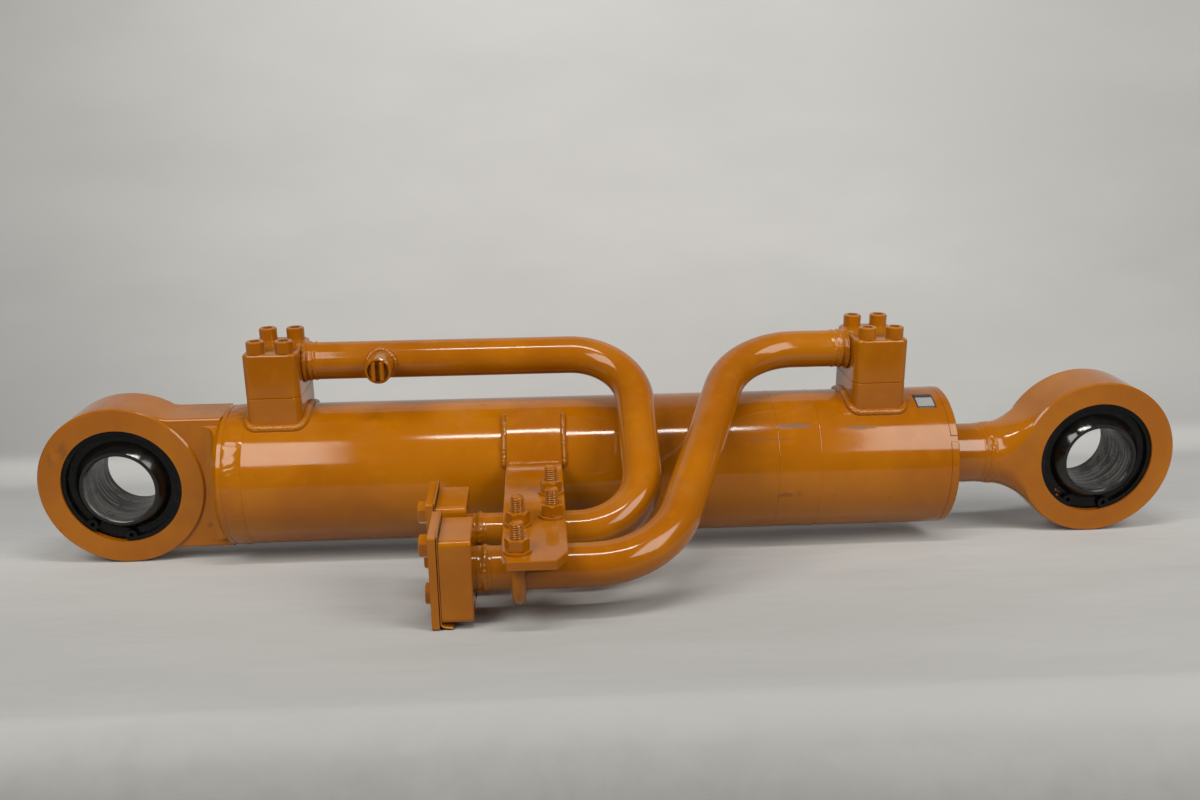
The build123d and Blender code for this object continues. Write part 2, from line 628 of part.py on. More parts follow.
def u_bolt(x, y):
    """Two legs and a half round that bears on the underside of the pipe."""
    r = UBOLT_HALF_SPAN
    z = PIPE_LOW_Z + r - (BOLT_D + PIPE_OD) / 2
    arc = ThreePointArc((x, y - r, z), (x, y, z - r), (x, y + r, z))
    bend = sweep(Plane(origin=arc @ 0, z_dir=arc % 0) * Circle(BOLT_D / 2), path=arc)
    legs = [along_z(z, UBOLT_TOP_Z, BOLT_D, x, y + side * r) for side in (-1, 1)]
    shape = bend + legs[0] + legs[1]
    tips = shape.edges().group_by(Axis.Z)[-1]
    return chamfer(tips, 1.2)


def u_bolt_washers():
    z1 = CLAMP_TOP_Z + WASHER_THICKNESS
    return together([along_z(CLAMP_TOP_Z, z1, WASHER_D, x, y) - along_z(0, z1 + 1, CLEARANCE_D, x, y)
                     for x, y in ubolt_legs()])


def u_bolt_nuts():
    z0 = CLAMP_TOP_Z + WASHER_THICKNESS
    corner, face = HEX_AF / sqrt(3) + 0.1, HEX_AF / 2 - 0.2
    envelope = revolve(make_face(Rot(90, 0, 0) * Polyline(
        (0, z0), (face, z0), (corner, z0 + 1.2), (corner, z0 + NUT_HEIGHT - 1.2),
        (face, z0 + NUT_HEIGHT), (0, z0 + NUT_HEIGHT), close=True)), Axis.Z)
    nuts = []
    for k, (x, y) in enumerate(ubolt_legs()):
        prism = extrude(Pos(x, y, z0) * Rot(0, 0, 12 * k) * hexagon(HEX_AF), NUT_HEIGHT)
        nut = prism & (Pos(x, y, 0) * envelope)
        nuts.append(nut - along_z(0, z0 + NUT_HEIGHT + 1, BOLT_D + 0.1, x, y))
    return together(nuts)


# ---------------------------------------------------------------- test port
TEST_FACE_Y = -PIPE_OD / 2 - TEST_BOSS_LENGTH
TEST_SEAT_Y = TEST_FACE_Y + TEST_RECESS_DEPTH


def test_port_boss():
    """A round boss on the pipe, with a recess for the plug and its washer."""
    boss = along_y(TEST_FACE_Y, -8, TEST_BOSS_D, TEST_X, PIPE_TOP_Z)
    boss = chamfer(boss.edges().filter_by(GeomType.CIRCLE).sort_by(Axis.Y)[0], 1.0)
    boss -= along_x(TEST_X - 40, TEST_X + 40, PIPE_OD, 0, PIPE_TOP_Z)
    boss -= along_y(TEST_FACE_Y - 1, TEST_SEAT_Y, TEST_RECESS_D, TEST_X, PIPE_TOP_Z)
    boss -= along_y(TEST_SEAT_Y - 1, -PIPE_OD / 2 - 1.5, TEST_THREAD_D + 0.1, TEST_X, PIPE_TOP_Z)
    return boss - along_y(-PIPE_OD, 0, 8.0, TEST_X, PIPE_TOP_Z)


def test_port_weld():
    """A collar of weld that follows the saddle line between the boss and the pipe."""
    far = TEST_BOSS_D + 2 * TEST_WELD_LEG
    collar = along_y(-PIPE_OD / 2 - TEST_WELD_LEG, -4, far, TEST_X, PIPE_TOP_Z)
    collar &= along_x(TEST_X - 40, TEST_X + 40, PIPE_OD + 2 * TEST_WELD_LEG - 2, 0, PIPE_TOP_Z)
    collar -= along_y(-PIPE_OD, 0, TEST_BOSS_D, TEST_X, PIPE_TOP_Z)
    return collar - along_x(TEST_X - 45, TEST_X + 45, PIPE_OD, 0, PIPE_TOP_Z)


def test_port_washer():
    ring = along_y(TEST_SEAT_Y - 1.5, TEST_SEAT_Y, TEST_RECESS_D - 0.6, TEST_X, PIPE_TOP_Z)
    return ring - along_y(TEST_SEAT_Y - 2, TEST_SEAT_Y + 1, TEST_THREAD_D + 0.1, TEST_X, PIPE_TOP_Z)


def test_port_plug():
    """A screwed plug whose head is two upright lugs with a wide slot between them."""
    seat = TEST_SEAT_Y - 1.5
    front = TEST_FACE_Y - 4.0
    plug = along_y(seat - 1.5, seat, TEST_RECESS_D - 1, TEST_X, PIPE_TOP_Z)
    plug += along_y(seat, -PIPE_OD / 2 - 4, TEST_THREAD_D, TEST_X, PIPE_TOP_Z)
    lugs = block(TEST_X - 6, TEST_X + 6, front, seat - 1, PIPE_TOP_Z - 9.5, PIPE_TOP_Z + 9.5)
    lugs = chamfer(lugs.faces().sort_by(Axis.Y)[0].edges(), 0.8)
    lugs &= along_y(front - 1, seat, TEST_RECESS_D - 1, TEST_X, PIPE_TOP_Z)
    slot = block(TEST_X - 2.4, TEST_X + 2.4, front - 1, seat - 1.5, PIPE_TOP_Z - 12, PIPE_TOP_Z + 12)
    return plug + lugs - slot


# ---------------------------------------------------------------- rod assembly
def rod():
    radius, spigot, thread = ROD_D / 2, SPIGOT_D / 2, ROD_THREAD_D / 2
    shoulder = PISTON_X + PISTON_LENGTH
    return turned([(ROD_TAIL_X, 0), (ROD_TAIL_X, thread - 1.5), (ROD_TAIL_X + 1.5, thread),
                   (PISTON_X, thread), (PISTON_X, spigot), (shoulder, spigot), (shoulder, radius),
                   (ROD_WELD_X, radius), (ROD_WELD_X, 0)])


def horn_start_x():
    """Where the neck starts to flare: the flare is an arc tangent to the neck and to the boss."""
    centres_apart = EYE_OD / 2 + NECK_BLEND_R
    rise = NECK_D / 2 + NECK_BLEND_R
    return PIN_TO_PIN - sqrt(centres_apart ** 2 - rise ** 2)


def rod_weld():
    """The full-section weld that joins the rod to the slightly thicker neck of the eye."""
    radius, neck_r, end = ROD_D / 2, NECK_D / 2, horn_start_x()
    middle = (ROD_WELD_X + end) / 2
    crown = ThreePointArc((ROD_WELD_X, radius), (middle, neck_r), (end, neck_r))
    rest = Polyline((end, neck_r), (end, 0), (ROD_WELD_X, 0), (ROD_WELD_X, radius))
    return revolve(make_face(crown + rest), Axis.X)


def horn_section(x, half_width, half_height, corner_r):
    return Pos(x, 0, 0) * Rot(0, 90, 0) * RectangleRounded(2 * half_height, 2 * half_width, corner_r)


def rod_eye():
    """A round neck that flares upward into the boss while its sides draw in to the boss width."""
    neck_r, start = NECK_D / 2, horn_start_x()
    turn = asin((PIN_TO_PIN - start) / (EYE_OD / 2 + NECK_BLEND_R))
    sections = []
    for step in range(6):
        share = step / 5
        x = start + NECK_BLEND_R * sin(turn * share)
        height = neck_r + NECK_BLEND_R * (1 - cos(turn * share))
        ease = share * share * (3 - 2 * share)
        width = neck_r + (EYE_WIDTH / 2 - 0.4 - neck_r) * ease
        corner = (neck_r - 0.1) + (HORN_CORNER_R - neck_r + 0.1) * ease
        sections.append(horn_section(x, width, height, min(corner, width - 0.1)))
    sections.append(horn_section(PIN_TO_PIN - 35, EYE_WIDTH / 2 - 0.4, height, HORN_CORNER_R))
    return loft(sections) + eye_boss(PIN_TO_PIN) - eye_cut(PIN_TO_PIN)


# ---------------------------------------------------------------- piston
PISTON_SEAL = (205.0, 216.0, 107.0)
WEAR_RINGS = ((186.0, 200.0), (229.0, 243.0))
WEAR_GROOVE_D = 119.0


def piston():
    end, radius = PISTON_X + PISTON_LENGTH, PISTON_D / 2
    shape = turned([(PISTON_X, SPIGOT_D / 2 + 0.03), (PISTON_X, radius - 2), (PISTON_X + 2, radius),
                    (end - 2, radius), (end, radius - 2), (end, SPIGOT_D / 2 + 0.03)])
    shape -= ring_x(PISTON_SEAL[0], PISTON_SEAL[1], BORE, PISTON_SEAL[2])
    for x0, x1 in WEAR_RINGS:
        shape -= ring_x(x0, x1, BORE, WEAR_GROOVE_D)
    return shape


def piston_nut():
    nut = extrude(Plane.YZ * hexagon(70.0), PISTON_X - NUT_X)
    nut = Pos(NUT_X, 0, 0) * nut
    cone = turned([(NUT_X, 0), (NUT_X, 34.2), (NUT_X + 3, 40.5), (PISTON_X, 40.5), (PISTON_X, 0)])
    return (nut & cone) - along_x(NUT_X - 1, PISTON_X + 1, ROD_THREAD_D + 0.1)


def piston_seal():
    """A glass-filled seal ring; its rubber energiser is a piece of its own below it."""
    x0, x1, floor_d = PISTON_SEAL
    return ring_x(x0 + 0.2, x1 - 0.2, BORE - 2 * 0.05, floor_d + 7)


def piston_seal_energiser():
    x0, x1, floor_d = PISTON_SEAL
    return ring_x(x0 + 2, x1 - 2, floor_d + 7 - 0.1, floor_d + 0.1)


def piston_wear_rings():
    return together([ring_x(x0 + 0.2, x1 - 0.2, BORE - 2 * 0.05, WEAR_GROOVE_D + 0.2)
                     for x0, x1 in WEAR_RINGS])


# ---------------------------------------------------------------- all nodes
def nodes():
    yield "cylinder_tube", cylinder_tube()
    yield "cap_end", cap_end()
    yield "cap_weld", cap_weld()
    yield "cap_port_boss", port_boss(CAP_PORT_X)
    yield "rod_port_boss", port_boss(ROD_PORT_X)
    yield "cap_port_boss_weld", port_boss_weld(CAP_PORT_X) - cap_weld()
    yield "rod_port_boss_weld", port_boss_weld(ROD_PORT_X)
    yield "cap_pipe_block", pipe_block(CAP_PORT_X, 1)
    yield "rod_pipe_block", pipe_block(ROD_PORT_X, -1)
    yield "block_o_rings", block_o_rings()
    yield "block_screws", block_screws()
    yield "cap_side_pipe", cap_side_pipe()
    yield "rod_side_pipe", rod_side_pipe()
    yield "pipe_block_welds", pipe_block_welds()
    yield "pipe_flange_welds", pipe_flange_welds()
    yield "cap_flange_block", flange_block(CAP_PLATE_X, CAP_PIPE_Y)
    yield "rod_flange_block", flange_block(ROD_PLATE_X, ROD_PIPE_Y)
    yield "cap_blanking_plate", blanking_plate(CAP_PLATE_X, CAP_PIPE_Y)
    yield "rod_blanking_plate", blanking_plate(ROD_PLATE_X, ROD_PIPE_Y)
    yield "cap_gasket_sheet", gasket_sheet(CAP_PLATE_X, CAP_PIPE_Y)
    yield "rod_gasket_sheet", gasket_sheet(ROD_PLATE_X, ROD_PIPE_Y)
    yield "flange_o_rings", flange_o_rings()
    yield "blanking_bolts", blanking_bolts()
    yield "saddle_pad", saddle_pad()
    yield "saddle_welds", saddle_welds()
    yield "clamp_plate", clamp_plate()
    yield "clamp_plate_welds", clamp_plate_welds()
    yield "cap_u_bolt", u_bolt(CAP_UBOLT_X, CAP_PIPE_Y)
    yield "rod_u_bolt", u_bolt(ROD_UBOLT_X, ROD_PIPE_Y)
    yield "u_bolt_washers", u_bolt_washers()
    yield "u_bolt_nuts", u_bolt_nuts()
    yield "test_port_boss", test_port_boss()
    yield "test_port_weld", test_port_weld()
    yield "test_port_washer", test_port_washer()
    yield "test_port_plug", test_port_plug()
    yield "gland", gland()
    yield "gland_lock_key", gland_lock_key()
    yield "gland_bush", gland_bush()
    yield "gland_buffer_seal", gland_buffer_seal()
    yield "rod_seal", rod_seal()
    yield "rod_wiper", rod_wiper()
    yield "gland_o_ring", gland_o_ring()
    yield "gland_backup_ring", gland_backup_ring()
    yield "cap_bearing_outer", bearing_outer_ring(0)
    yield "cap_bearing_inner", bearing_inner_ring(0)
    yield "cap_circlips", circlips(0, CAP_CIRCLIP_GAP_ANGLE)
    yield "rod", rod()
    yield "rod_weld", rod_weld()
    yield "rod_eye", rod_eye()
    yield "rod_bearing_outer", bearing_outer_ring(PIN_TO_PIN)
    yield "rod_bearing_inner", bearing_inner_ring(PIN_TO_PIN)
    yield "rod_circlips", circlips(PIN_TO_PIN, ROD_CIRCLIP_GAP_ANGLE)
    yield "piston", piston()
    yield "piston_nut", piston_nut()
    yield "piston_seal", piston_seal()
    yield "piston_seal_energiser", piston_seal_energiser()
    yield "piston_wear_rings", piston_wear_rings()


os.makedirs("parts", exist_ok=True)
for name, shape in nodes():
    export_step(shape, f"parts/{name}.step")
    print(name, round(shape.volume), "mm3,", len(shape.solids()), "solid(s)")
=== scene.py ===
import json
import math

import bpy
from mathutils import Matrix, Vector, noise


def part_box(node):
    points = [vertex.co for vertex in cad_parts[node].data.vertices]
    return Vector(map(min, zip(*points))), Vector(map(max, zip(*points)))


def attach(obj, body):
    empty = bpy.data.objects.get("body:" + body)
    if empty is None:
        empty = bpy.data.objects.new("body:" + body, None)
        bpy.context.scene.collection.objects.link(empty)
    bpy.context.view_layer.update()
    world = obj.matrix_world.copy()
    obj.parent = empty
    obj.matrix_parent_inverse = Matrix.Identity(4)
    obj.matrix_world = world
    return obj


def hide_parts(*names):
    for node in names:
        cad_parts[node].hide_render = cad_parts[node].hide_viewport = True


# A painted hydraulic cylinder with two hard pipes, lying on a pale cloth-covered table.
# Everything is in metres in the CAD frame: origin at the cap-end pin, +X to the rod eye,
# pipes on the -Y side, +Z up. The CAD nodes keep their shapes and get their materials here.
# Weld beads, U-bolts and gasket sheets are modelled here and replace their plain CAD nodes.

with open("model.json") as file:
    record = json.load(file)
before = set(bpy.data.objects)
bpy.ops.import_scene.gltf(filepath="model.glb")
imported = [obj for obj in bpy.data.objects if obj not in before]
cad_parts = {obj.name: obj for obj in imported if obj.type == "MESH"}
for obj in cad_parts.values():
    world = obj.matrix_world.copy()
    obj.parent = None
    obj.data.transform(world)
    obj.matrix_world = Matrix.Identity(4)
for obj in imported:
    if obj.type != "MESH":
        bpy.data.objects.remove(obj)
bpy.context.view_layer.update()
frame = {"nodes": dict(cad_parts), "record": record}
NODES = frame["nodes"]
MM = 0.001


# ---------------------------------------------------------------- places taken from the frame
def low(node):
    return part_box(node)[0]


def high(node):
    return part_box(node)[1]


def middle(node):
    return (low(node) + high(node)) / 2


def size(node):
    return high(node) - low(node)


BARREL_AXIS = (0, 0)     # y, z
BARREL_R = size("cylinder_tube").y / 2
PIPE_R = 19 * MM
PIN = {m["name"]: Vector(m["pos_m"]) for m in frame["record"]["mounts"]}
GLAND_FACE_X = high("gland").x


# ---------------------------------------------------------------- mesh helpers
SAME_PLACE = 1e-7        # a path whose ends are nearer than this is a loop
BEAD_SIDES = 18
BURIED = 1.2 * MM        # how deep a band's hidden side lies in the wall under it


def mesh_piece(name, points, faces, material, body="barrel", slot="enamel", replaces=()):
    """A smooth visible piece that rides on a body, in place of any CAD nodes it replaces."""
    mesh = bpy.data.meshes.new(name)
    mesh.from_pydata([tuple(p) for p in points], [], faces)
    mesh.validate()
    mesh.polygons.foreach_set("use_smooth", [True] * len(mesh.polygons))
    piece = bpy.data.objects.new(name, mesh)
    bpy.context.scene.collection.objects.link(piece)
    piece.data.materials.append(material)
    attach(piece, body)
    if replaces:
        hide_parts(*replaces)


def grid_faces(rows, columns, close_rows=False, close_columns=True, cap=False):
    """Quads between rows of points, each row holding the same number of columns."""
    faces = []
    for i in range(rows if close_rows else rows - 1):
        for j in range(columns if close_columns else columns - 1):
            here, there = i * columns, (i + 1) % rows * columns
            beside = (j + 1) % columns
            faces.append([here + j, here + beside, there + beside, there + j])
    if cap:
        faces.append(list(reversed(range(columns))))
        faces.append(list(range((rows - 1) * columns, rows * columns)))
    return faces


def is_loop(path):
    return (path[0] - path[-1]).length < SAME_PLACE


def tube_points(path, radius, sides, up):
    """Rings of points round a path, and how many rings.

    radius(i, angle) gives each point's distance from the path, and up(place) a direction that
    isn't along it.
    """
    points = []
    loop = is_loop(path)
    count = len(path) - 1 if loop else len(path)
    for i in range(count):
        if loop:
            ahead, behind = path[(i + 1) % count], path[(i - 1) % count]
        else:
            ahead, behind = path[min(i + 1, count - 1)], path[max(i - 1, 0)]
        along = (ahead - behind).normalized()
        side = along.cross(up(path[i])).normalized()
        rise = side.cross(along).normalized()
        for k in range(sides):
            angle = 2 * math.pi * k / sides
            reach = radius(i, angle)
            points.append(path[i] + reach * (math.cos(angle) * side + math.sin(angle) * rise))
    return points, count


def rough(point, scale, seed=0.0):
    """Smooth noise from -1 to 1 at a place."""
    x, y, z = point
    return noise.noise(Vector((x * scale + seed, y * scale - seed, z * scale + 3 * seed)))


def weld_bead(name, path, radius, up, pitch, seed, replaces=()):
    """A hand-laid fillet bead: overlapping ripples along the path, a little uneven."""
    ripple_drop, ripple_lean = 0.10, 0.22
    broad, broad_scale = 0.16, 110
    fine, fine_scale = 0.08, 420
    end_length, end_least = 1.2 * radius, 0.02
    steps = [0.0]
    for a, b in zip(path, path[1:]):
        steps.append(steps[-1] + (b - a).length)
    total = steps[-1]
    loop = is_loop(path)
    ripples = max(1, round(total / pitch))

    def reach(i, angle):
        phase = (steps[i] / total * ripples + ripple_lean * math.cos(angle)) % 1.0
        ripple = 1 - ripple_drop * phase ** 2
        uneven = (1 + broad * rough(path[i], broad_scale, seed)
                  + fine * rough(path[i], fine_scale, seed))
        end = 1.0
        if not loop:
            from_end = min(steps[i], total - steps[i])
            end = min(1.0, math.sqrt(max(end_least, from_end / end_length)))
        return radius * ripple * uneven * end

    points, rows = tube_points(path, reach, BEAD_SIDES, up)
    faces = grid_faces(rows, BEAD_SIDES, close_rows=loop, cap=not loop)
    mesh_piece(name, points, faces, PAINT, replaces=replaces)


def ridged_band(name, axis, x0, x1, wall, height, material, around=160, across=40, **options):
    """A closed band round an axis along X, through axis = (y, z), from x0 to x1.

    height(share, angle) is how far it stands off the wall, with share 0 at x0 and 1 at x1.
    """
    def place(x, r, angle):
        return Vector((x, axis[0] + r * math.cos(angle), axis[1] + r * math.sin(angle)))

    points = []
    for i in range(around):
        angle = 2 * math.pi * i / around
        for j in range(across + 1):
            share = j / across
            points.append(place(x0 + (x1 - x0) * share, wall + height(share, angle), angle))
        points += [place(x, wall - BURIED, angle) for x in (x1, x0)]
    hidden_columns = 2
    faces = grid_faces(around, across + 1 + hidden_columns, close_rows=True)
    if x1 < x0:
        faces = [list(reversed(f)) for f in faces]
    mesh_piece(name, points, faces, material, **options)


# ---------------------------------------------------------------- materials
class Nodes:
    """A short way to write a material's nodes."""

    def __init__(self, name):
        self.material = bpy.data.materials.new(name)
        self.material.use_nodes = True
        self.tree = self.material.node_tree
        self.tree.nodes.clear()
        self.out = self.tree.nodes.new("ShaderNodeOutputMaterial")
        self.shader = self.tree.nodes.new("ShaderNodeBsdfPrincipled")
        self.link(self.shader.outputs[0], self.out.inputs[0])
        self.place = self.new("ShaderNodeTexCoord").outputs["Object"]

    def new(self, kind, **values):
        node = self.tree.nodes.new(kind)
        for key, value in values.items():
            setattr(node, key, value)
        return node

    def link(self, source, target):
        self.tree.links.new(source, target)

    def set(self, **values):
        for key, value in values.items():
            self.shader.inputs[key.replace("_", " ")].default_value = value

    def feed(self, node, key, value):
        """Sets an input to a constant, links it to an output, or leaves it alone for None."""
        if isinstance(value, (int, float, tuple)):
            node.inputs[key].default_value = value
        elif value is not None:
            self.link(value, node.inputs[key])

    def scaled(self, sx, sy, sz):
        """The place with its axes stretched, for grain that runs one way."""
        return self.vector_math("MULTIPLY", self.place, (sx, sy, sz))

    def noise(self, scale, detail=3.0, roughness=0.5, vector=None, distortion=0.0):
        node = self.new("ShaderNodeTexNoise")
        self.link(vector or self.place, node.inputs["Vector"])
        node.inputs["Scale"].default_value = scale
        node.inputs["Detail"].default_value = detail
        node.inputs["Roughness"].default_value = roughness
        node.inputs["Distortion"].default_value = distortion
        return node.outputs["Fac"]

    def band(self, value, start, end, to_low=0.0, to_high=1.0):
        """Goes softly from to_low to to_high while value goes from start to end."""
        node = self.new("ShaderNodeMapRange", interpolation_type="SMOOTHSTEP")
        self.feed(node, 0, value)
        for key, number in enumerate((start, end, to_low, to_high), 1):
            node.inputs[key].default_value = number
        return node.outputs[0]

    def math(self, operation, a, b=0.0):
        node = self.new("ShaderNodeMath", operation=operation)
        self.feed(node, 0, a)
        self.feed(node, 1, b)
        return node.outputs[0]

    def vector_math(self, operation, a, b=None, output="Vector"):
        node = self.new("ShaderNodeVectorMath", operation=operation)
        self.link(a, node.inputs[0])
        self.feed(node, 1, b)
        return node.outputs[output]

    def mix(self, share, a, b):
        """The colour a where share is 0 and b where it is 1."""
        node = self.new("ShaderNodeMix", data_type="RGBA")
        self.feed(node, 0, share)
        self.feed(node, 6, a)
        self.feed(node, 7, b)
        return node.outputs[2]

    def split(self, vector=None):
        """The x, y and z of the place, or of another vector."""
        node = self.new("ShaderNodeSeparateXYZ")
        self.link(vector or self.place, node.inputs[0])
        return node.outputs

    def geometry(self, output):
        return self.new("ShaderNodeNewGeometry").outputs[output]

    def normal(self):
        return self.split(self.geometry("Normal"))

    def bump(self, height, distance, strength=1.0, under=None):
        node = self.new("ShaderNodeBump")
        node.inputs["Strength"].default_value = strength
        node.inputs["Distance"].default_value = distance
        self.link(height, node.inputs["Height"])
        if under:
            self.link(under, node.inputs["Normal"])
        return node.outputs[0]

    def radius_from(self, x, z):
        """Distance from an axis along Y through (x, z)."""
        xs, _, zs = self.split()
        dx = self.math("SUBTRACT", xs, x)
        dz = self.math("SUBTRACT", zs, z)
        squares = self.math("ADD", self.math("MULTIPLY", dx, dx), self.math("MULTIPLY", dz, dz))
        return self.math("SQRT", squares)

    def finish(self, colour=None, roughness=None, normal=None, metallic=None):
        self.feed(self.shader, "Base Color", colour)
        self.feed(self.shader, "Roughness", roughness)
        self.feed(self.shader, "Normal", normal)
        self.feed(self.shader, "Metallic", metallic)
        return self.material


ORANGE = (0.335, 0.108, 0.0012, 1)
ORANGE_DEEP = (0.270, 0.080, 0.0008, 1)
ORANGE_PALE = (0.39, 0.140, 0.004, 1)
OVERSPRAY_ORANGE = (0.38, 0.10, 0.008, 1)
GRIME_AND_SHADE = (0.050, 0.030, 0.018, 1)
DUST = (0.50, 0.32, 0.15, 1)
CHROME_DARK, CHROME_LIGHT = (0.60, 0.61, 0.62, 1), (0.72, 0.73, 0.74, 1)
BORE_DARK, BORE_LIGHT = (0.012, 0.011, 0.011, 1), (0.20, 0.195, 0.19, 1)
BORE_GREASE = (0.010, 0.009, 0.009, 1)
BALL_BLACK, BALL_WORN = (0.003, 0.003, 0.003, 1), (0.016, 0.011, 0.008, 1)
RING_BLACK, RING_WORN = (0.0025, 0.0025, 0.003, 1), (0.008, 0.0075, 0.007, 1)
STEEL_DARK, STEEL_LIGHT = (0.22, 0.22, 0.22, 1), (0.42, 0.42, 0.41, 1)
BRONZE_DARK, BRONZE_LIGHT = (0.30, 0.17, 0.05, 1), (0.48, 0.29, 0.10, 1)
BARE_RUBBER = (0.010, 0.009, 0.009, 1)
FOIL_DARK, FOIL_LIGHT = (0.34, 0.35, 0.36, 1), (0.42, 0.43, 0.44, 1)
LABEL_BORDER = (0.04, 0.04, 0.045, 1)
CLOTH_DARK, CLOTH_LIGHT = (0.475, 0.484, 0.498, 1), (0.531, 0.540, 0.555, 1)
WALL_SHADE = (0.06, 0.06, 0.06, 1)
TABLE_SHADE = (0.12, 0.12, 0.12, 1)
EDGE_SHADE = (0.055, 0.055, 0.052, 1)


def add_dark_patches(n, dirt_and_shade, dark_patches):
    """Adds ragged dark patches to the dirt and shade mask. Each: centre, reach per axis, strength.
    """
    full, gone = 1.05, 1.5
    for centre, reach, strength in dark_patches:
        offset = n.vector_math("SUBTRACT", n.place, centre)
        away = n.vector_math("LENGTH", n.vector_math("DIVIDE", offset, reach), output="Value")
        ragged = n.math("ADD", away, n.math("MULTIPLY", n.noise(210.0, 4.0, 0.7), 1.5))
        dirt_and_shade = n.math("MAXIMUM", dirt_and_shade, n.band(ragged, gone, full, 0.0, strength))
    return dirt_and_shade


def paint_layers(n, dark_patches=()):
    """The enamel's colour, gloss and surface: tones, dust, specks, dark patches with painted shade
    and painted reflection, and orange peel.
    """
    drift = n.noise(9.0, 3.0)
    fine = n.noise(70.0, 4.0)
    colour = n.mix(n.band(drift, 0.35, 0.68), ORANGE_DEEP, ORANGE)
    colour = n.mix(n.band(fine, 0.5, 0.8, 0.0, 0.3), colour, ORANGE_PALE)
    up = n.normal()[2]
    settled = n.band(n.noise(24.0, 5.0, 0.6), 0.42, 0.75, 0.0, 0.07)
    dust = n.math("MULTIPLY", n.band(up, 0.55, 1.0), settled)
    colour = n.mix(dust, colour, DUST)
    dots, dotted_areas = n.noise(620.0, 1.0), n.noise(16.0, 2.0)
    specks = n.math("MULTIPLY", n.band(dots, 0.735, 0.76), n.band(dotted_areas, 0.50, 0.66))
    scuffs = n.band(n.noise(38.0, 5.0, 0.65), 0.60, 0.74, 0.0, 0.35)
    rubbed = n.math("MULTIPLY", scuffs, n.band(drift, 0.50, 0.66))
    dirt_and_shade = add_dark_patches(n, n.math("MAXIMUM", specks, rubbed), dark_patches)
    # Darkens toward grime where real specks and scuffs lie, and where the listed dark patches paint
    # shade and reflection into the colour.
    colour = n.mix(dirt_and_shade, colour, GRIME_AND_SHADE)
    gloss = n.band(n.noise(30.0, 4.0), 0.3, 0.75, 0.07, 0.14)
    gloss = n.math("ADD", gloss, n.math("MULTIPLY", n.math("ADD", dirt_and_shade, dust), 0.40))
    slow = n.bump(n.noise(38.0, 2.0), 0.8 * MM, 0.08)
    peel = n.bump(n.noise(360.0, 2.0), 0.20 * MM, 0.12, slow)
    return colour, gloss, peel


def enamel(name="enamel", dark_patches=()):
    n = Nodes(name)
    colour, gloss, surface = paint_layers(n, dark_patches)
    n.set(IOR=1.41)
    return n.finish(colour, gloss, surface)


def rod_finish():
    """Chrome that is hidden in the gland at rest, and paint over the neck outside it."""
    n = Nodes("rod_chrome_and_paint")
    colour, gloss, surface = paint_layers(n)
    x = n.split()[0]
    edge = n.math("ADD", x, n.math("MULTIPLY", n.noise(300.0, 2.0), 0.8 * MM))
    painted = n.band(edge, GLAND_FACE_X + 0.2 * MM, GLAND_FACE_X + 0.7 * MM)
    hone = n.noise(60.0, 4.0, 0.6, n.scaled(60.0, 1.0, 1.0))
    chrome = n.mix(n.band(hone, 0.3, 0.7), CHROME_DARK, CHROME_LIGHT)
    chrome_gloss = n.band(hone, 0.2, 0.8, 0.06, 0.14)
    bare = n.math("SUBTRACT", 1.0, painted)
    both_gloss = n.math("ADD", n.math("MULTIPLY", gloss, painted),
                        n.math("MULTIPLY", chrome_gloss, bare))
    return n.finish(n.mix(painted, chrome, colour), both_gloss, surface, bare)


def bearing_ring(name, x):
    """Black phosphated ball surface, and a greasy ground bore with turned streaks."""
    n = Nodes(name)
    r = n.radius_from(x, 0.0)
    bore = n.band(r, 36.2 * MM, 35.8 * MM)
    streaks = n.noise(14.0, 6.0, 0.7, n.scaled(1.0, 26.0, 1.0), 0.8)
    patches = n.noise(55.0, 5.0, 0.65)
    steel = n.mix(n.band(streaks, 0.42, 0.66), BORE_DARK, BORE_LIGHT)
    steel = n.mix(n.band(patches, 0.46, 0.64, 0.0, 0.85), steel, BORE_GREASE)
    ball = n.mix(n.band(patches, 0.5, 0.8, 0.0, 0.5), BALL_BLACK, BALL_WORN)
    colour = n.mix(bore, ball, steel)
    rough_ball = n.band(patches, 0.3, 0.7, 0.08, 0.20)
    rough_bore = n.band(patches, 0.3, 0.7, 0.42, 0.22)
    gloss = n.math("ADD", n.math("MULTIPLY", rough_ball, n.math("SUBTRACT", 1.0, bore)),
                   n.math("MULTIPLY", rough_bore, bore))
    height = n.math("ADD", n.math("MULTIPLY", streaks, bore), n.math("MULTIPLY", patches, 0.12))
    surface = n.bump(height, 0.5 * MM, 0.35)
    return n.finish(colour, gloss, surface, n.math("MULTIPLY", bore, 0.8))


def black_ring(name, overspray=None):
    """Blackened steel under a film of grease. overspray is a place with a touch of paint."""
    n = Nodes(name)
    film = n.noise(85.0, 5.0, 0.6)
    colour = n.mix(n.band(film, 0.4, 0.75), RING_BLACK, RING_WORN)
    if overspray:
        away = n.vector_math("DISTANCE", n.place, overspray, "Value")
        ragged = n.math("ADD", away, n.math("MULTIPLY", n.noise(260.0, 4.0), 7 * MM))
        colour = n.mix(n.band(ragged, 9.0 * MM, 7.5 * MM), colour, OVERSPRAY_ORANGE)
    n.set(IOR=1.27)
    return n.finish(colour, n.band(film, 0.3, 0.75, 0.12, 0.30), n.bump(film, 0.2 * MM, 0.15))


def turned_metal(name, dark, light, smooth, coarse):
    """Bare metal with fine turning marks round the X axis. smooth and coarse are roughness."""
    n = Nodes(name)
    rings = n.noise(10.0, 4.0, 0.7, n.scaled(90.0, 1.0, 1.0))
    colour = n.mix(n.band(rings, 0.3, 0.7), dark, light)
    n.set(Metallic=1.0)
    return n.finish(colour, n.band(rings, 0.3, 0.7, smooth, coarse), n.bump(rings, 0.1 * MM, 0.3))


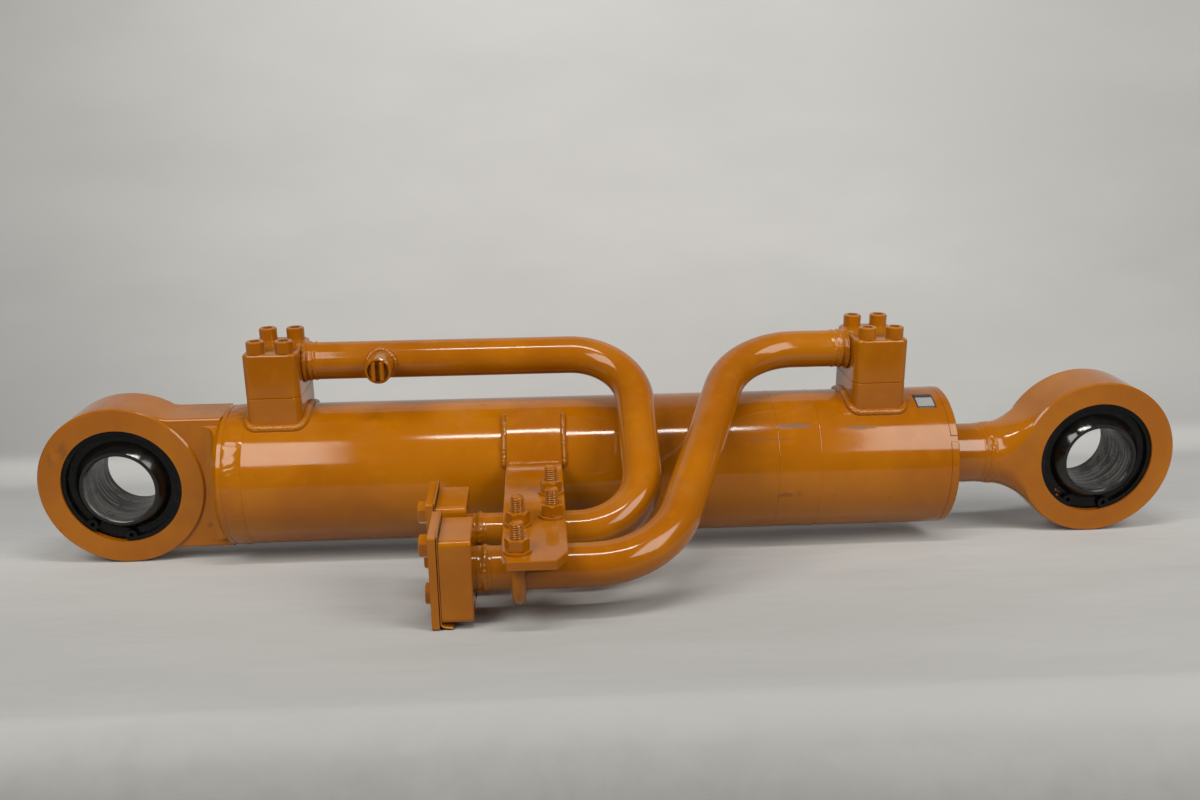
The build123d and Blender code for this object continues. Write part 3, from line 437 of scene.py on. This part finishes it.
def rubber(name, base, wear):
    n = Nodes(name)
    grain = n.noise(900.0, 3.0)
    patches = n.noise(45.0, 4.0)
    colour = n.mix(n.band(patches, 0.4, 0.75), base, wear)
    dull = n.band(patches, 0.3, 0.7, 0.42, 0.62)
    return n.finish(colour, dull, n.bump(grain, 0.1 * MM, 0.3))


def gasket_finish():
    """Rubber sheet with paint on the edges that the spray reached, black on its hidden faces."""
    n = Nodes("gasket_oversprayed")
    colour, gloss, surface = paint_layers(n)
    ragged = n.noise(240.0, 3.0)
    facing = n.normal()
    down = n.math("ADD", facing[2], n.math("MULTIPLY", ragged, 0.35))
    inner = n.math("ADD", n.math("ABSOLUTE", facing[0]), n.math("MULTIPLY", ragged, 0.2))
    hidden = n.math("MAXIMUM", n.band(down, -0.15, -0.35), n.band(inner, 0.80, 0.95))
    return n.finish(n.mix(hidden, colour, BARE_RUBBER), n.math("ADD", gloss, 0.08), surface)


def one_sided(n):
    """Only the side that faces the object shows, so the wall hides nothing from behind it."""
    join = n.new("ShaderNodeMixShader")
    n.link(n.geometry("Backfacing"), join.inputs[0])
    n.link(n.shader.outputs[0], join.inputs[1])
    n.link(n.new("ShaderNodeBsdfTransparent").outputs[0], join.inputs[2])
    n.link(join.outputs[0], n.out.inputs[0])


def cloth():
    """Pale felt: shaded at the wall's two sides, toward the front, and over the table's edge."""
    n = Nodes("pale_cloth")
    weave = n.noise(1500.0, 2.0)
    soft = n.noise(2.2, 4.0, 0.55, n.scaled(0.6, 1.6, 1.6))
    wrinkle = n.noise(3.0, 4.0, 0.55, n.scaled(1.0, 2.6, 1.0))
    mottle = n.noise(28.0, 4.0, 0.6)
    colour = n.mix(n.band(soft, 0.35, 0.7), CLOTH_DARK, CLOTH_LIGHT)
    x, y, _ = n.split()
    upright = n.band(n.normal()[2], 0.7, 0.3)
    left_side, right_side = n.band(x, 0.25, -0.40, 0.0, 0.30), n.band(x, 0.85, 1.45, 0.0, 0.16)
    beside = n.math("MAXIMUM", left_side, right_side)
    colour = n.mix(n.math("MULTIPLY", upright, beside), colour, WALL_SHADE)
    toward_front = n.band(y, 0.16, -0.42, 0.0, 0.46)
    slanted = n.math("ADD", y, n.math("MULTIPLY", x, 0.04))
    mottled = n.math("ADD", slanted, n.math("MULTIPLY", mottle, 0.03))
    over_edge = n.band(mottled, -0.405, -0.53, 0.0, 0.88)
    colour = n.mix(toward_front, colour, TABLE_SHADE)
    colour = n.mix(over_edge, colour, EDGE_SHADE)
    base = n.bump(wrinkle, 14 * MM, 0.35)
    one_sided(n)
    return n.finish(colour, 0.85, n.bump(weave, 0.2 * MM, 0.2, base))


# Dark patches: centre, reach along each axis, strength.
# Painted reflection: long thin dark streaks along the barrel's upper front, painted into the
# enamel's colour.
BARREL_PAINTED_REFLECTIONS = (
    ((0.684, -0.050, 0.053), (0.030, 0.008, 0.0045), 0.60),
    ((0.752, -0.052, 0.050), (0.026, 0.008, 0.0032), 0.50),
    ((0.672, -0.071, -0.014), (0.016, 0.008, 0.0045), 0.45),
    ((0.655, -0.058, 0.042), (0.045, 0.008, 0.0024), 0.22),
)
# The first two are dark patches on the cap eye's face. The last two are painted shade low on the
# block's front face, where it meets the concave blend.
EYE_PATCHES_AND_SHADE = (
    ((-0.052, -0.029, 0.040), (0.008, 0.006, 0.016), 0.30),
    ((-0.066, -0.029, 0.032), (0.005, 0.006, 0.012), 0.22),
    ((0.100, -0.027, -0.058), (0.009, 0.008, 0.009), 0.45),
    ((0.083, -0.027, -0.045), (0.004, 0.008, 0.005), 0.40),
)

PAINT = enamel()
# The barrel's enamel carries painted dark reflections, and the cap end's enamel carries painted
# shade in the corner of its block.
BARREL_PAINT = enamel("enamel_barrel", dark_patches=BARREL_PAINTED_REFLECTIONS)
CAP_PAINT = enamel("enamel_cap_end", dark_patches=EYE_PATCHES_AND_SHADE)
GASKET = gasket_finish()
BLACK_RUBBER = rubber("black_rubber", (0.010, 0.010, 0.010, 1), (0.022, 0.021, 0.020, 1))
SEAL_POLYMER = rubber("seal_polymer", (0.10, 0.22, 0.15, 1), (0.16, 0.28, 0.20, 1))
STEEL = turned_metal("turned_steel", STEEL_DARK, STEEL_LIGHT, 0.28, 0.42)
OVERSPRAY = tuple(PIN["rod_pin_bore"] + Vector((-35, -27, -38)) * MM)

SPECIAL = {
    "cylinder_tube": BARREL_PAINT,
    "cap_end": CAP_PAINT,
    "rod": rod_finish(),
    "cap_bearing_inner": bearing_ring("cap_ball_ring", 0.0),
    "rod_bearing_inner": bearing_ring("rod_ball_ring", PIN["rod_pin_bore"].x),
    "cap_bearing_outer": black_ring("blackened_ring"),
    "rod_bearing_outer": black_ring("blackened_ring_oversprayed", OVERSPRAY),
    "cap_circlips": black_ring("blackened_circlip"),
    "rod_circlips": black_ring("blackened_circlip_oversprayed", OVERSPRAY),
    "gland_bush": turned_metal("bearing_bronze", BRONZE_DARK, BRONZE_LIGHT, 0.25, 0.4),
}
BY_SLOT = {
    "enamel": PAINT,
    "seal_rubber": BLACK_RUBBER,
    "seal_polymer": SEAL_POLYMER,
    "plain_steel": STEEL,
}


def dress_nodes():
    """Gives each CAD node its own material, or else the one for its slot in the record."""
    slots = {s["node"]: s["material_slot"] for s in frame["record"]["subparts"]}
    for name, node in NODES.items():
        material = SPECIAL.get(name) or BY_SLOT[slots[name]]
        if not node.material_slots:
            node.data.materials.append(material)
        for slot in node.material_slots:
            slot.material = material


# ---------------------------------------------------------------- weld beads
def outward(place):
    """The direction away from the barrel's axis, for a bead that lies on its wall."""
    return Vector((0, place.y, place.z)).normalized()


def toward_pipes(_):
    """The -Y side, leaning a little so that it's never along a bead's path."""
    return Vector((0, -1, 0.001))


def rounded_outline(half_x, half_y, corner, spacing):
    """Points round a rectangle with round corners, closed, in the barrel's XY plane."""
    points = []
    inner_x, inner_y = half_x - corner, half_y - corner
    straight = [((half_x, -inner_y), (half_x, inner_y)),
                ((inner_x, half_y), (-inner_x, half_y)),
                ((-half_x, inner_y), (-half_x, -inner_y)),
                ((-inner_x, -half_y), (inner_x, -half_y))]
    centres = [(inner_x, inner_y), (-inner_x, inner_y), (-inner_x, -inner_y), (inner_x, -inner_y)]
    for side, ((a, b), centre) in enumerate(zip(straight, centres)):
        a, b = Vector(a), Vector(b)
        count = max(2, round((b - a).length / spacing))
        points += [a + (b - a) * k / count for k in range(count)]
        arc_steps = max(3, round(corner * math.pi / 2 / spacing))
        for k in range(arc_steps):
            angle = math.radians(90) * (side + k / arc_steps)
            points.append(Vector(centre) + corner * Vector((math.cos(angle), math.sin(angle))))
    return points + [points[0]]


def boss_weld(node, boss, seed):
    """The bead round a port boss's foot, where it stands on the round barrel."""
    centre, half = middle(boss), size(boss) / 2
    outset, corner, spacing, stand_off = 1.0 * MM, 9.6 * MM, 0.55 * MM, 0.2 * MM
    path = []
    for p in rounded_outline(half.x + outset, half.y + outset, corner, spacing):
        wall_z = math.sqrt(BARREL_R ** 2 - p.y ** 2)
        path.append(Vector((centre.x + p.x, p.y, wall_z + stand_off)))
    weld_bead(f"{node}_bead", path, 4.0 * MM, outward, 3.4 * MM, seed, (node,))


def pipe_weld(name, axis, x0, x1, humps, seed, replaces=()):
    """A multi-pass weld round a pipe, from x0 to x1.

    humps are its passes: (share along, width as a share, height).
    """
    sunk, end_sunk, slope, ripples = 0.25 * MM, 0.3 * MM, 8, 24

    def height(share, angle):
        place = Vector((math.cos(angle) * 2.2, math.sin(angle) * 2.2, seed))
        total = -sunk
        for k, (at, width, tall) in enumerate(humps):
            wander = 0.035 * noise.noise(place * 1.7 + Vector((k * 5.0, 0, 0)))
            bend = (share - at - wander) / width
            wave = math.sin(angle * (ripples + 3 * k) + 2.0 * bend)
            ripple = 1 + 0.13 * wave * math.exp(-bend * bend)
            uneven = 1 + 0.25 * noise.noise(place * 3.0)
            total += tall * math.exp(-bend * bend) * ripple * uneven
        edge = min(1.0, slope * share + 0.15, slope * (1 - share))
        return total * edge - end_sunk * (1 - edge)

    ridged_band(name, axis, x0, x1, PIPE_R, height, PAINT, replaces=replaces)


def pipe_welds():
    """The welds that join each pipe to its block and to its flange."""
    overlap = 0.5 * MM
    pipe_axis = (0, middle("pipe_block_welds").z)
    humps = ((0.05, 0.15, 3.4 * MM), (0.42, 0.12, 1.5 * MM), (0.74, 0.11, 0.9 * MM))
    x = high("cap_pipe_block").x - overlap
    pipe_weld("cap_block_weld_bead", pipe_axis, x, x + 17 * MM, humps, 1.0, ("pipe_block_welds",))
    x = low("rod_pipe_block").x + overlap
    pipe_weld("rod_block_weld_bead", pipe_axis, x, x - 22 * MM, humps, 2.0)
    neck_length, neck_overlap = 18 * MM, 9 * MM
    humps = ((0.22, 0.11, 0.5 * MM), (0.55, 0.15, 1.5 * MM), (0.80, 0.07, 0.5 * MM))
    for side, seed, replaces in (("cap", 3.0, ("pipe_flange_welds",)), ("rod", 4.0, ())):
        block = f"{side}_flange_block"
        x = high(block).x - neck_overlap
        pipe_weld(f"{side}_flange_weld_bead", (middle(block).y, middle(block).z),
                  x, x + neck_length, humps, seed, replaces)


def saddle_beads():
    """The beads down the two sides of the saddle pad, along the barrel's curve."""
    start, end, steps = math.radians(114), math.radians(162), 160
    outset, r = 1.2 * MM, BARREL_R + 0.8 * MM
    sides = (("left", low("saddle_pad").x - outset, 9.0, ("saddle_welds",)),
             ("right", high("saddle_pad").x + outset, 10.0, ()))
    for side, x, seed, replaces in sides:
        angles = [start + (end - start) * k / steps for k in range(steps + 1)]
        path = [Vector((x, r * math.cos(angle), r * math.sin(angle))) for angle in angles]
        weld_bead(f"saddle_weld_bead_{side}", path, 4.2 * MM, outward, 4.0 * MM, seed, replaces)


def clamp_beads():
    """The beads above and below the clamp plate, where it meets the saddle pad."""
    x0, x1 = low("clamp_plate").x + 1 * MM, high("clamp_plate").x - 1 * MM
    pad_r, outset, steps = BARREL_R + 8 * MM, 0.6 * MM, 110
    for name, z, replaces in (("top", high("clamp_plate").z, ("clamp_plate_welds",)),
                              ("under", low("clamp_plate").z, ())):
        y = -math.sqrt(pad_r ** 2 - z ** 2) - outset
        path = [Vector((x0 + (x1 - x0) * k / steps, y, z)) for k in range(steps + 1)]
        weld_bead(f"clamp_weld_bead_{name}", path, 2.9 * MM, outward, 3.6 * MM, 8.0, replaces)


def test_port_bead():
    """The bead round the test port's foot, where it stands on the round pipe."""
    centre_x, pipe_z = middle("test_port_weld").x, middle("test_port_boss").z
    r, steps = size("test_port_boss").x / 2 + 0.6 * MM, 180
    path = []
    for k in range(steps + 1):
        angle = 2 * math.pi * k / steps
        z = r * math.sin(angle)
        y = -math.sqrt(max(PIPE_R ** 2 - z ** 2, 0))
        path.append(Vector((centre_x + r * math.cos(angle), y, pipe_z + z)))
    path[-1] = path[0].copy()
    weld_bead("test_port_bead", path, 3.0 * MM, toward_pipes, 3.6 * MM, 9.0, ("test_port_weld",))


def cap_weld_band():
    """A wide, nearly flat machine-laid weld round the barrel: wandering toes, faint waves."""
    x0, x1 = low("cap_weld").x - 1 * MM, high("cap_weld").x + 1 * MM
    crown, wave, stand_off, sunk = 1.6 * MM, 0.30 * MM, 0.05 * MM, 1.0 * MM

    def height(share, angle):
        ring = Vector((math.cos(angle) * 3, math.sin(angle) * 3, 7.0))
        toe = 0.16 * noise.noise(ring * 3.0)
        bend = (share - 0.5 - toe * (share - 0.5)) * 2
        swell = max(0.0, 1 - bend * bend)
        lumps = noise.noise(Vector((ring.x * 6, ring.y * 6, share * 2.5)))
        fine = 0.35 * noise.noise(Vector((ring.x * 22, ring.y * 22, share * 5)))
        return crown * swell + wave * (lumps + fine) * min(1.0, 1.6 * swell) + stand_off

    ridged_band("cap_weld_bead", BARREL_AXIS, x0, x1, BARREL_R - sunk, height, PAINT,
                around=420, across=30, replaces=("cap_weld",))


def rod_weld_band():
    """The neck weld: a fine groove at the rod's end, then a rough band up to the eye's neck."""
    x0, x1 = low("rod_weld").x - 0.3 * MM, high("rod_weld").x + 0.6 * MM
    rod_r, neck_r = size("rod").y / 2, size("rod_weld").y / 2
    stand_off, groove_depth, edge_depth, lump = 0.15 * MM, 0.45 * MM, 0.40 * MM, 0.25 * MM

    def height(share, angle):
        ring = Vector((math.cos(angle) * 3, math.sin(angle) * 3, 11.0))
        rise = (neck_r - rod_r) * (3 * share ** 2 - 2 * share ** 3)
        groove_at = 0.38 + 0.05 * noise.noise(ring)
        groove = -groove_depth * math.exp(-((share - groove_at) / 0.05) ** 2)
        edge = -edge_depth * math.exp(-((share - 0.94) / 0.035) ** 2)
        lumps = lump * noise.noise(Vector((ring.x * 5, ring.y * 5, share * 6)))
        return stand_off + rise + groove + edge + lumps * (1 if share > groove_at else 0.3)

    ridged_band("rod_weld_bead", BARREL_AXIS, x0, x1, rod_r, height, PAINT,
                around=240, across=40, body="rod", replaces=("rod_weld",))


# ---------------------------------------------------------------- threaded U-bolts
def u_bolt(node):
    """A U-bolt bent from round bar, with a rolled M12 thread on both legs."""
    pitch, depth, thread_from = 2.0 * MM, 1.10 * MM, 17 * MM
    tip_length, tip_least = 1.2 * MM, 0.80
    step, bend_steps, sides = 0.25 * MM, 60, 30
    box_low, box_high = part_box(node)
    bar_r = (box_high.x - box_low.x) / 2
    x, y_mid, top = (box_low.x + box_high.x) / 2, (box_low.y + box_high.y) / 2, box_high.z
    bend_r = (box_high.y - box_low.y) / 2 - bar_r
    centre_z = box_low.z + bar_r + bend_r
    leg = top - centre_z
    leg_steps = round(leg / step)
    path = [Vector((x, y_mid - bend_r, top - leg * k / leg_steps)) for k in range(leg_steps)]
    for k in range(bend_steps + 1):
        angle = math.pi * k / bend_steps
        y, z = y_mid - bend_r * math.cos(angle), centre_z - bend_r * math.sin(angle)
        path.append(Vector((x, y, z)))
    path += [Vector((x, y_mid + bend_r, centre_z + leg * (k + 1) / leg_steps))
             for k in range(leg_steps)]

    def reach(i, angle):
        z = path[i].z
        taper = min(1.0, tip_least + (1 - tip_least) * (top - z) / tip_length)
        if z < centre_z + thread_from:
            return bar_r * taper
        hand = 1 if i < leg_steps else -1
        phase = (z / pitch - angle / (2 * math.pi) * hand) % 1.0
        crest = min(1.0, (1 - 2 * abs(phase - 0.5)) * 1.15)
        return (bar_r - depth * (1 - crest)) * taper

    points, rows = tube_points(path, reach, sides, lambda p: Vector((1, 0, 0)))
    faces = grid_faces(rows, sides, cap=True)
    mesh_piece(f"{node}_threaded", points, faces, PAINT, replaces=(node,))


# ---------------------------------------------------------------- small details
def ring_lines():
    """Two faint ridges round the barrel where the paint was masked."""
    half, tall, sunk = 0.7 * MM, 0.28 * MM, 0.02 * MM

    def height(share, _):
        return tall * math.sin(math.pi * share) - sunk

    for number, x in ((1, 666 * MM), (2, 709 * MM)):
        ridged_band(f"barrel_ring_line_{number}", BARREL_AXIS, x - half, x + half, BARREL_R, height,
                    BARREL_PAINT, around=220, across=6)


def label_finish(x0, x1, z0, z1):
    """Dull foil with a thin dark border."""
    n = Nodes("silver_label")
    grain = n.noise(500.0, 3.0)
    x, _, z = n.split()
    from_x = n.math("MINIMUM", n.math("SUBTRACT", x, x0), n.math("SUBTRACT", x1, x))
    from_z = n.math("MINIMUM", n.math("SUBTRACT", z, z0), n.math("SUBTRACT", z1, z))
    border = n.band(n.math("MINIMUM", from_x, from_z), 1.5 * MM, 1.1 * MM)
    foil = n.mix(n.band(grain, 0.3, 0.7), FOIL_DARK, FOIL_LIGHT)
    n.set(Metallic=0.4)
    return n.finish(n.mix(border, foil, LABEL_BORDER), 0.34, n.bump(grain, 0.05 * MM, 0.2))


def thick_sheet(name, rows, columns, front, back, material, **options):
    """A closed thin sheet. front(i, j) and back(i, j) give its two faces, row by row."""
    points = [face(i, j) for face in (front, back) for i in range(rows) for j in range(columns)]
    faces = grid_faces(rows, columns, close_columns=False)
    under = rows * columns
    faces += [[i + under for i in reversed(f)] for f in faces]
    rim = (list(range(columns)) + [i * columns + columns - 1 for i in range(1, rows)]
           + [(rows - 1) * columns + j for j in reversed(range(columns - 1))]
           + [i * columns for i in reversed(range(1, rows - 1))])
    for a, b in zip(rim, rim[1:] + rim[:1]):
        faces.append([b, a, a + under, b + under])
    mesh_piece(name, points, faces, material, **options)


def blank_label():
    """A small foil label with no printing, wrapped on the barrel by the gland."""
    x0, x1 = GLAND_FACE_X - 36 * MM, GLAND_FACE_X - 16 * MM
    start, end = math.radians(101), math.radians(119)
    rows, columns = 13, 9

    front_r, back_r = BARREL_R + 0.22 * MM, BARREL_R - 0.3 * MM

    def face(r):
        def point(i, j):
            angle = start + (end - start) * i / (rows - 1)
            x = x0 + (x1 - x0) * j / (columns - 1)
            return Vector((x, r * math.cos(angle), r * math.sin(angle)))
        return point

    finish = label_finish(x0, x1, BARREL_R * math.sin(end), BARREL_R * math.sin(start))
    thick_sheet("blank_label", rows, columns, face(front_r), face(back_r), finish)


def gasket_sheet(side, seed):
    """A thin rubber sheet, a little wavy in its gap, with its lower end bent under the block."""
    node = f"{side}_gasket_sheet"
    half, flat_steps, curl_steps, columns = 0.6 * MM, 44, 14, 29
    waviness, raggedness, inset = 0.35 * MM, 0.5 * MM, 0.3 * MM
    box_low, box_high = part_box(node)
    gap_low, gap_high = high(f"{side}_blanking_plate").x, low(f"{side}_flange_block").x
    centre_x = (gap_low + gap_high) / 2
    turn = Vector((centre_x, 0, low(f"{side}_flange_block").z - 0.2 * MM))
    bend = Vector((centre_x + 0.8 * MM, 0, box_low.z + 1.2 * MM))
    tip = Vector((box_high.x - 0.4 * MM, 0, box_low.z + half))
    profile = [(centre_x, box_high.z + (turn.z - box_high.z) * k / flat_steps, 1.0, 0.0)
               for k in range(flat_steps + 1)]
    for k in range(1, curl_steps + 1):
        t = k / curl_steps
        at = (1 - t) ** 2 * turn + 2 * t * (1 - t) * bend + t * t * tip
        along = ((1 - t) * (bend - turn) + t * (tip - bend)).normalized()
        profile.append((at.x, at.z, -along.z, along.x))

    def face(offset):
        def point(i, j):
            x, z, out_x, out_z = profile[i]
            y = box_low.y + (box_high.y - box_low.y) * j / (columns - 1)
            wave = waviness * noise.noise(Vector((y * 45, z * 45, seed)))
            from_middle = 2 * j / (columns - 1) - 1
            ragged = raggedness * noise.noise(Vector((z * 160, seed, 0))) * from_middle
            return Vector((x + out_x * (offset + wave), y + ragged - inset * from_middle,
                           z + out_z * (offset + 0.3 * wave)))
        return point

    thick_sheet(f"{side}_gasket", len(profile), columns, face(-half), face(half), GASKET,
                slot="seal_rubber", replaces=(node,))


# ---------------------------------------------------------------- table, wall, light, camera
# The object lies on its two eyes and its flange ends, so the table slopes down toward +Y.
TILT = math.atan2(43.6, 251.0)
TOUCH = Vector((0, -29, -83)) * MM      # the lowest point of the cap eye's front face
DOWN_TABLE = Vector((0, math.cos(TILT), -math.sin(TILT)))
TABLE_UP = Vector((0, math.sin(TILT), math.cos(TILT)))


def on_table(x, depth, height):
    """A place given as metres along X, behind the eyes' contact line, and above the table."""
    return TOUCH + Vector((x, 0, 0)) + DOWN_TABLE * depth + TABLE_UP * height


def cloth_fall(x, depth):
    """The cloth's height, below 0 and loosely folded where it hangs over the table's edge."""
    table_edge, steepness, rounding, fold_height, folds_start = -0.415, 2.2, 0.03, 0.006, 0.1
    past = table_edge - depth
    if past <= 0:
        return 0.0
    fold = noise.noise(Vector((x * 1.6, depth * 7.0, 2.0)))
    return (fold_height * fold * min(1.0, past / folds_start)
            - steepness * past ** 2 / (past + rounding))


def stage_sheet():
    """One pale sheet: table, a soft bend, and the wall behind."""
    front, wall_at, bend, top, lean, rise = -1.6, 0.46, 0.05, 2.6, 0.03, 0.1
    step, bend_steps, wall_steps = 0.02, 8, 10
    flat_steps = int((wall_at - bend - front) / step)
    xs = [-2.4 + 0.04 * k for k in range(151)]
    points = []
    for k in range(flat_steps + 1):
        depth = front + step * k
        points += [on_table(x, depth, cloth_fall(x, depth)) for x in xs]
    upper = []
    for k in range(1, bend_steps + 1):
        angle = math.radians(90) * k / bend_steps
        upper.append((wall_at - bend + bend * math.sin(angle), bend - bend * math.cos(angle)))
    for k in range(wall_steps + 1):
        upper.append((wall_at + lean * k, bend + rise + (top - bend) * k / wall_steps))
    points += [on_table(x, depth, height) for depth, height in upper for x in xs]
    rows = flat_steps + 1 + len(upper)
    mesh = bpy.data.meshes.new("table_and_wall")
    mesh.from_pydata([tuple(p) for p in points], [],
                     grid_faces(rows, len(xs), close_columns=False))
    mesh.polygons.foreach_set("use_smooth", [True] * len(mesh.polygons))
    sheet = bpy.data.objects.new("table_and_wall", mesh)
    bpy.context.scene.collection.objects.link(sheet)
    sheet.data.materials.append(cloth())


def placed(x_axis, y_axis, z_axis, place):
    """The matrix of a lamp or camera with these axes at this place."""
    columns = (x_axis.to_4d(), y_axis.to_4d(), z_axis.to_4d(), place.to_4d())
    for axis in columns[:3]:
        axis.w = 0
    return Matrix(columns).transposed()


def soft_box(name, low_edge, high_edge, width, aim, watts):
    """A warm rectangle of light between the middles of its two edges, facing aim."""
    low_edge, high_edge = Vector(low_edge), Vector(high_edge)
    centre = (low_edge + high_edge) / 2
    light = bpy.data.lights.new(name, "AREA")
    light.shape = "RECTANGLE"
    light.size = width
    light.size_y = (high_edge - low_edge).length
    light.energy = watts
    light.color = (1.0, 0.96, 0.88)
    up = (high_edge - low_edge).normalized()
    back = centre - Vector(aim)
    back = (back - up * back.dot(up)).normalized()
    side = up.cross(back).normalized()
    lamp = bpy.data.objects.new(name, light)
    lamp.matrix_world = placed(side, up, back, centre)
    bpy.context.scene.collection.objects.link(lamp)


def lights():
    """Two big soft boxes in front, a strip overhead, and a little light from the room."""
    soft_box("left_soft_box", (-0.40, -1.31, 0.78), (-0.40, -0.52, 1.42), 0.75, (0.2, 0, 0), 18.5)
    soft_box("right_soft_box", (1.52, -1.33, 0.64), (1.52, -0.52, 1.40), 0.75, (0.8, 0, 0), 19.0)
    soft_box("ceiling_strip", (0.55, -0.62, 1.62), (0.55, -0.50, 1.66), 0.8, (0.45, 0, 0), 11.0)
    world = bpy.data.worlds.new("room")
    world.use_nodes = True
    background = world.node_tree.nodes["Background"]
    background.inputs[0].default_value = (0.94, 0.93, 0.90, 1)
    background.inputs[1].default_value = 0.09
    bpy.context.scene.world = world
    bpy.context.scene.view_settings.view_transform = "Standard"
    bpy.context.scene.view_settings.look = "None"


def camera():
    """In front of the object and a little above it, looking down; angles are in radians."""
    data = bpy.data.cameras.new("camera")
    data.lens = 33.6
    data.sensor_width = 36.0
    data.clip_end = 50.0
    yaw, pitch, roll = 0.0549, 0.3001, -0.0103
    forward = Vector((math.sin(yaw) * math.cos(pitch), math.cos(yaw) * math.cos(pitch),
                      -math.sin(pitch)))
    level = Vector((math.cos(yaw), -math.sin(yaw), 0))
    rise = level.cross(forward)
    right = math.cos(roll) * level + math.sin(roll) * rise
    up = -math.sin(roll) * level + math.cos(roll) * rise
    view = bpy.data.objects.new("camera", data)
    view.matrix_world = placed(right, up, -forward, Vector((0.4276, -1.1146, 0.4157)))
    bpy.context.scene.collection.objects.link(view)
    bpy.context.scene.camera = view


dress_nodes()
boss_weld("cap_port_boss_weld", "cap_port_boss", 1.0)
boss_weld("rod_port_boss_weld", "rod_port_boss", 2.0)
pipe_welds()
saddle_beads()
clamp_beads()
test_port_bead()
cap_weld_band()
rod_weld_band()
u_bolt("cap_u_bolt")
u_bolt("rod_u_bolt")
ring_lines()
blank_label()
gasket_sheet("cap", 3.0)
gasket_sheet("rod", 8.0)
stage_sheet()
lights()
camera()
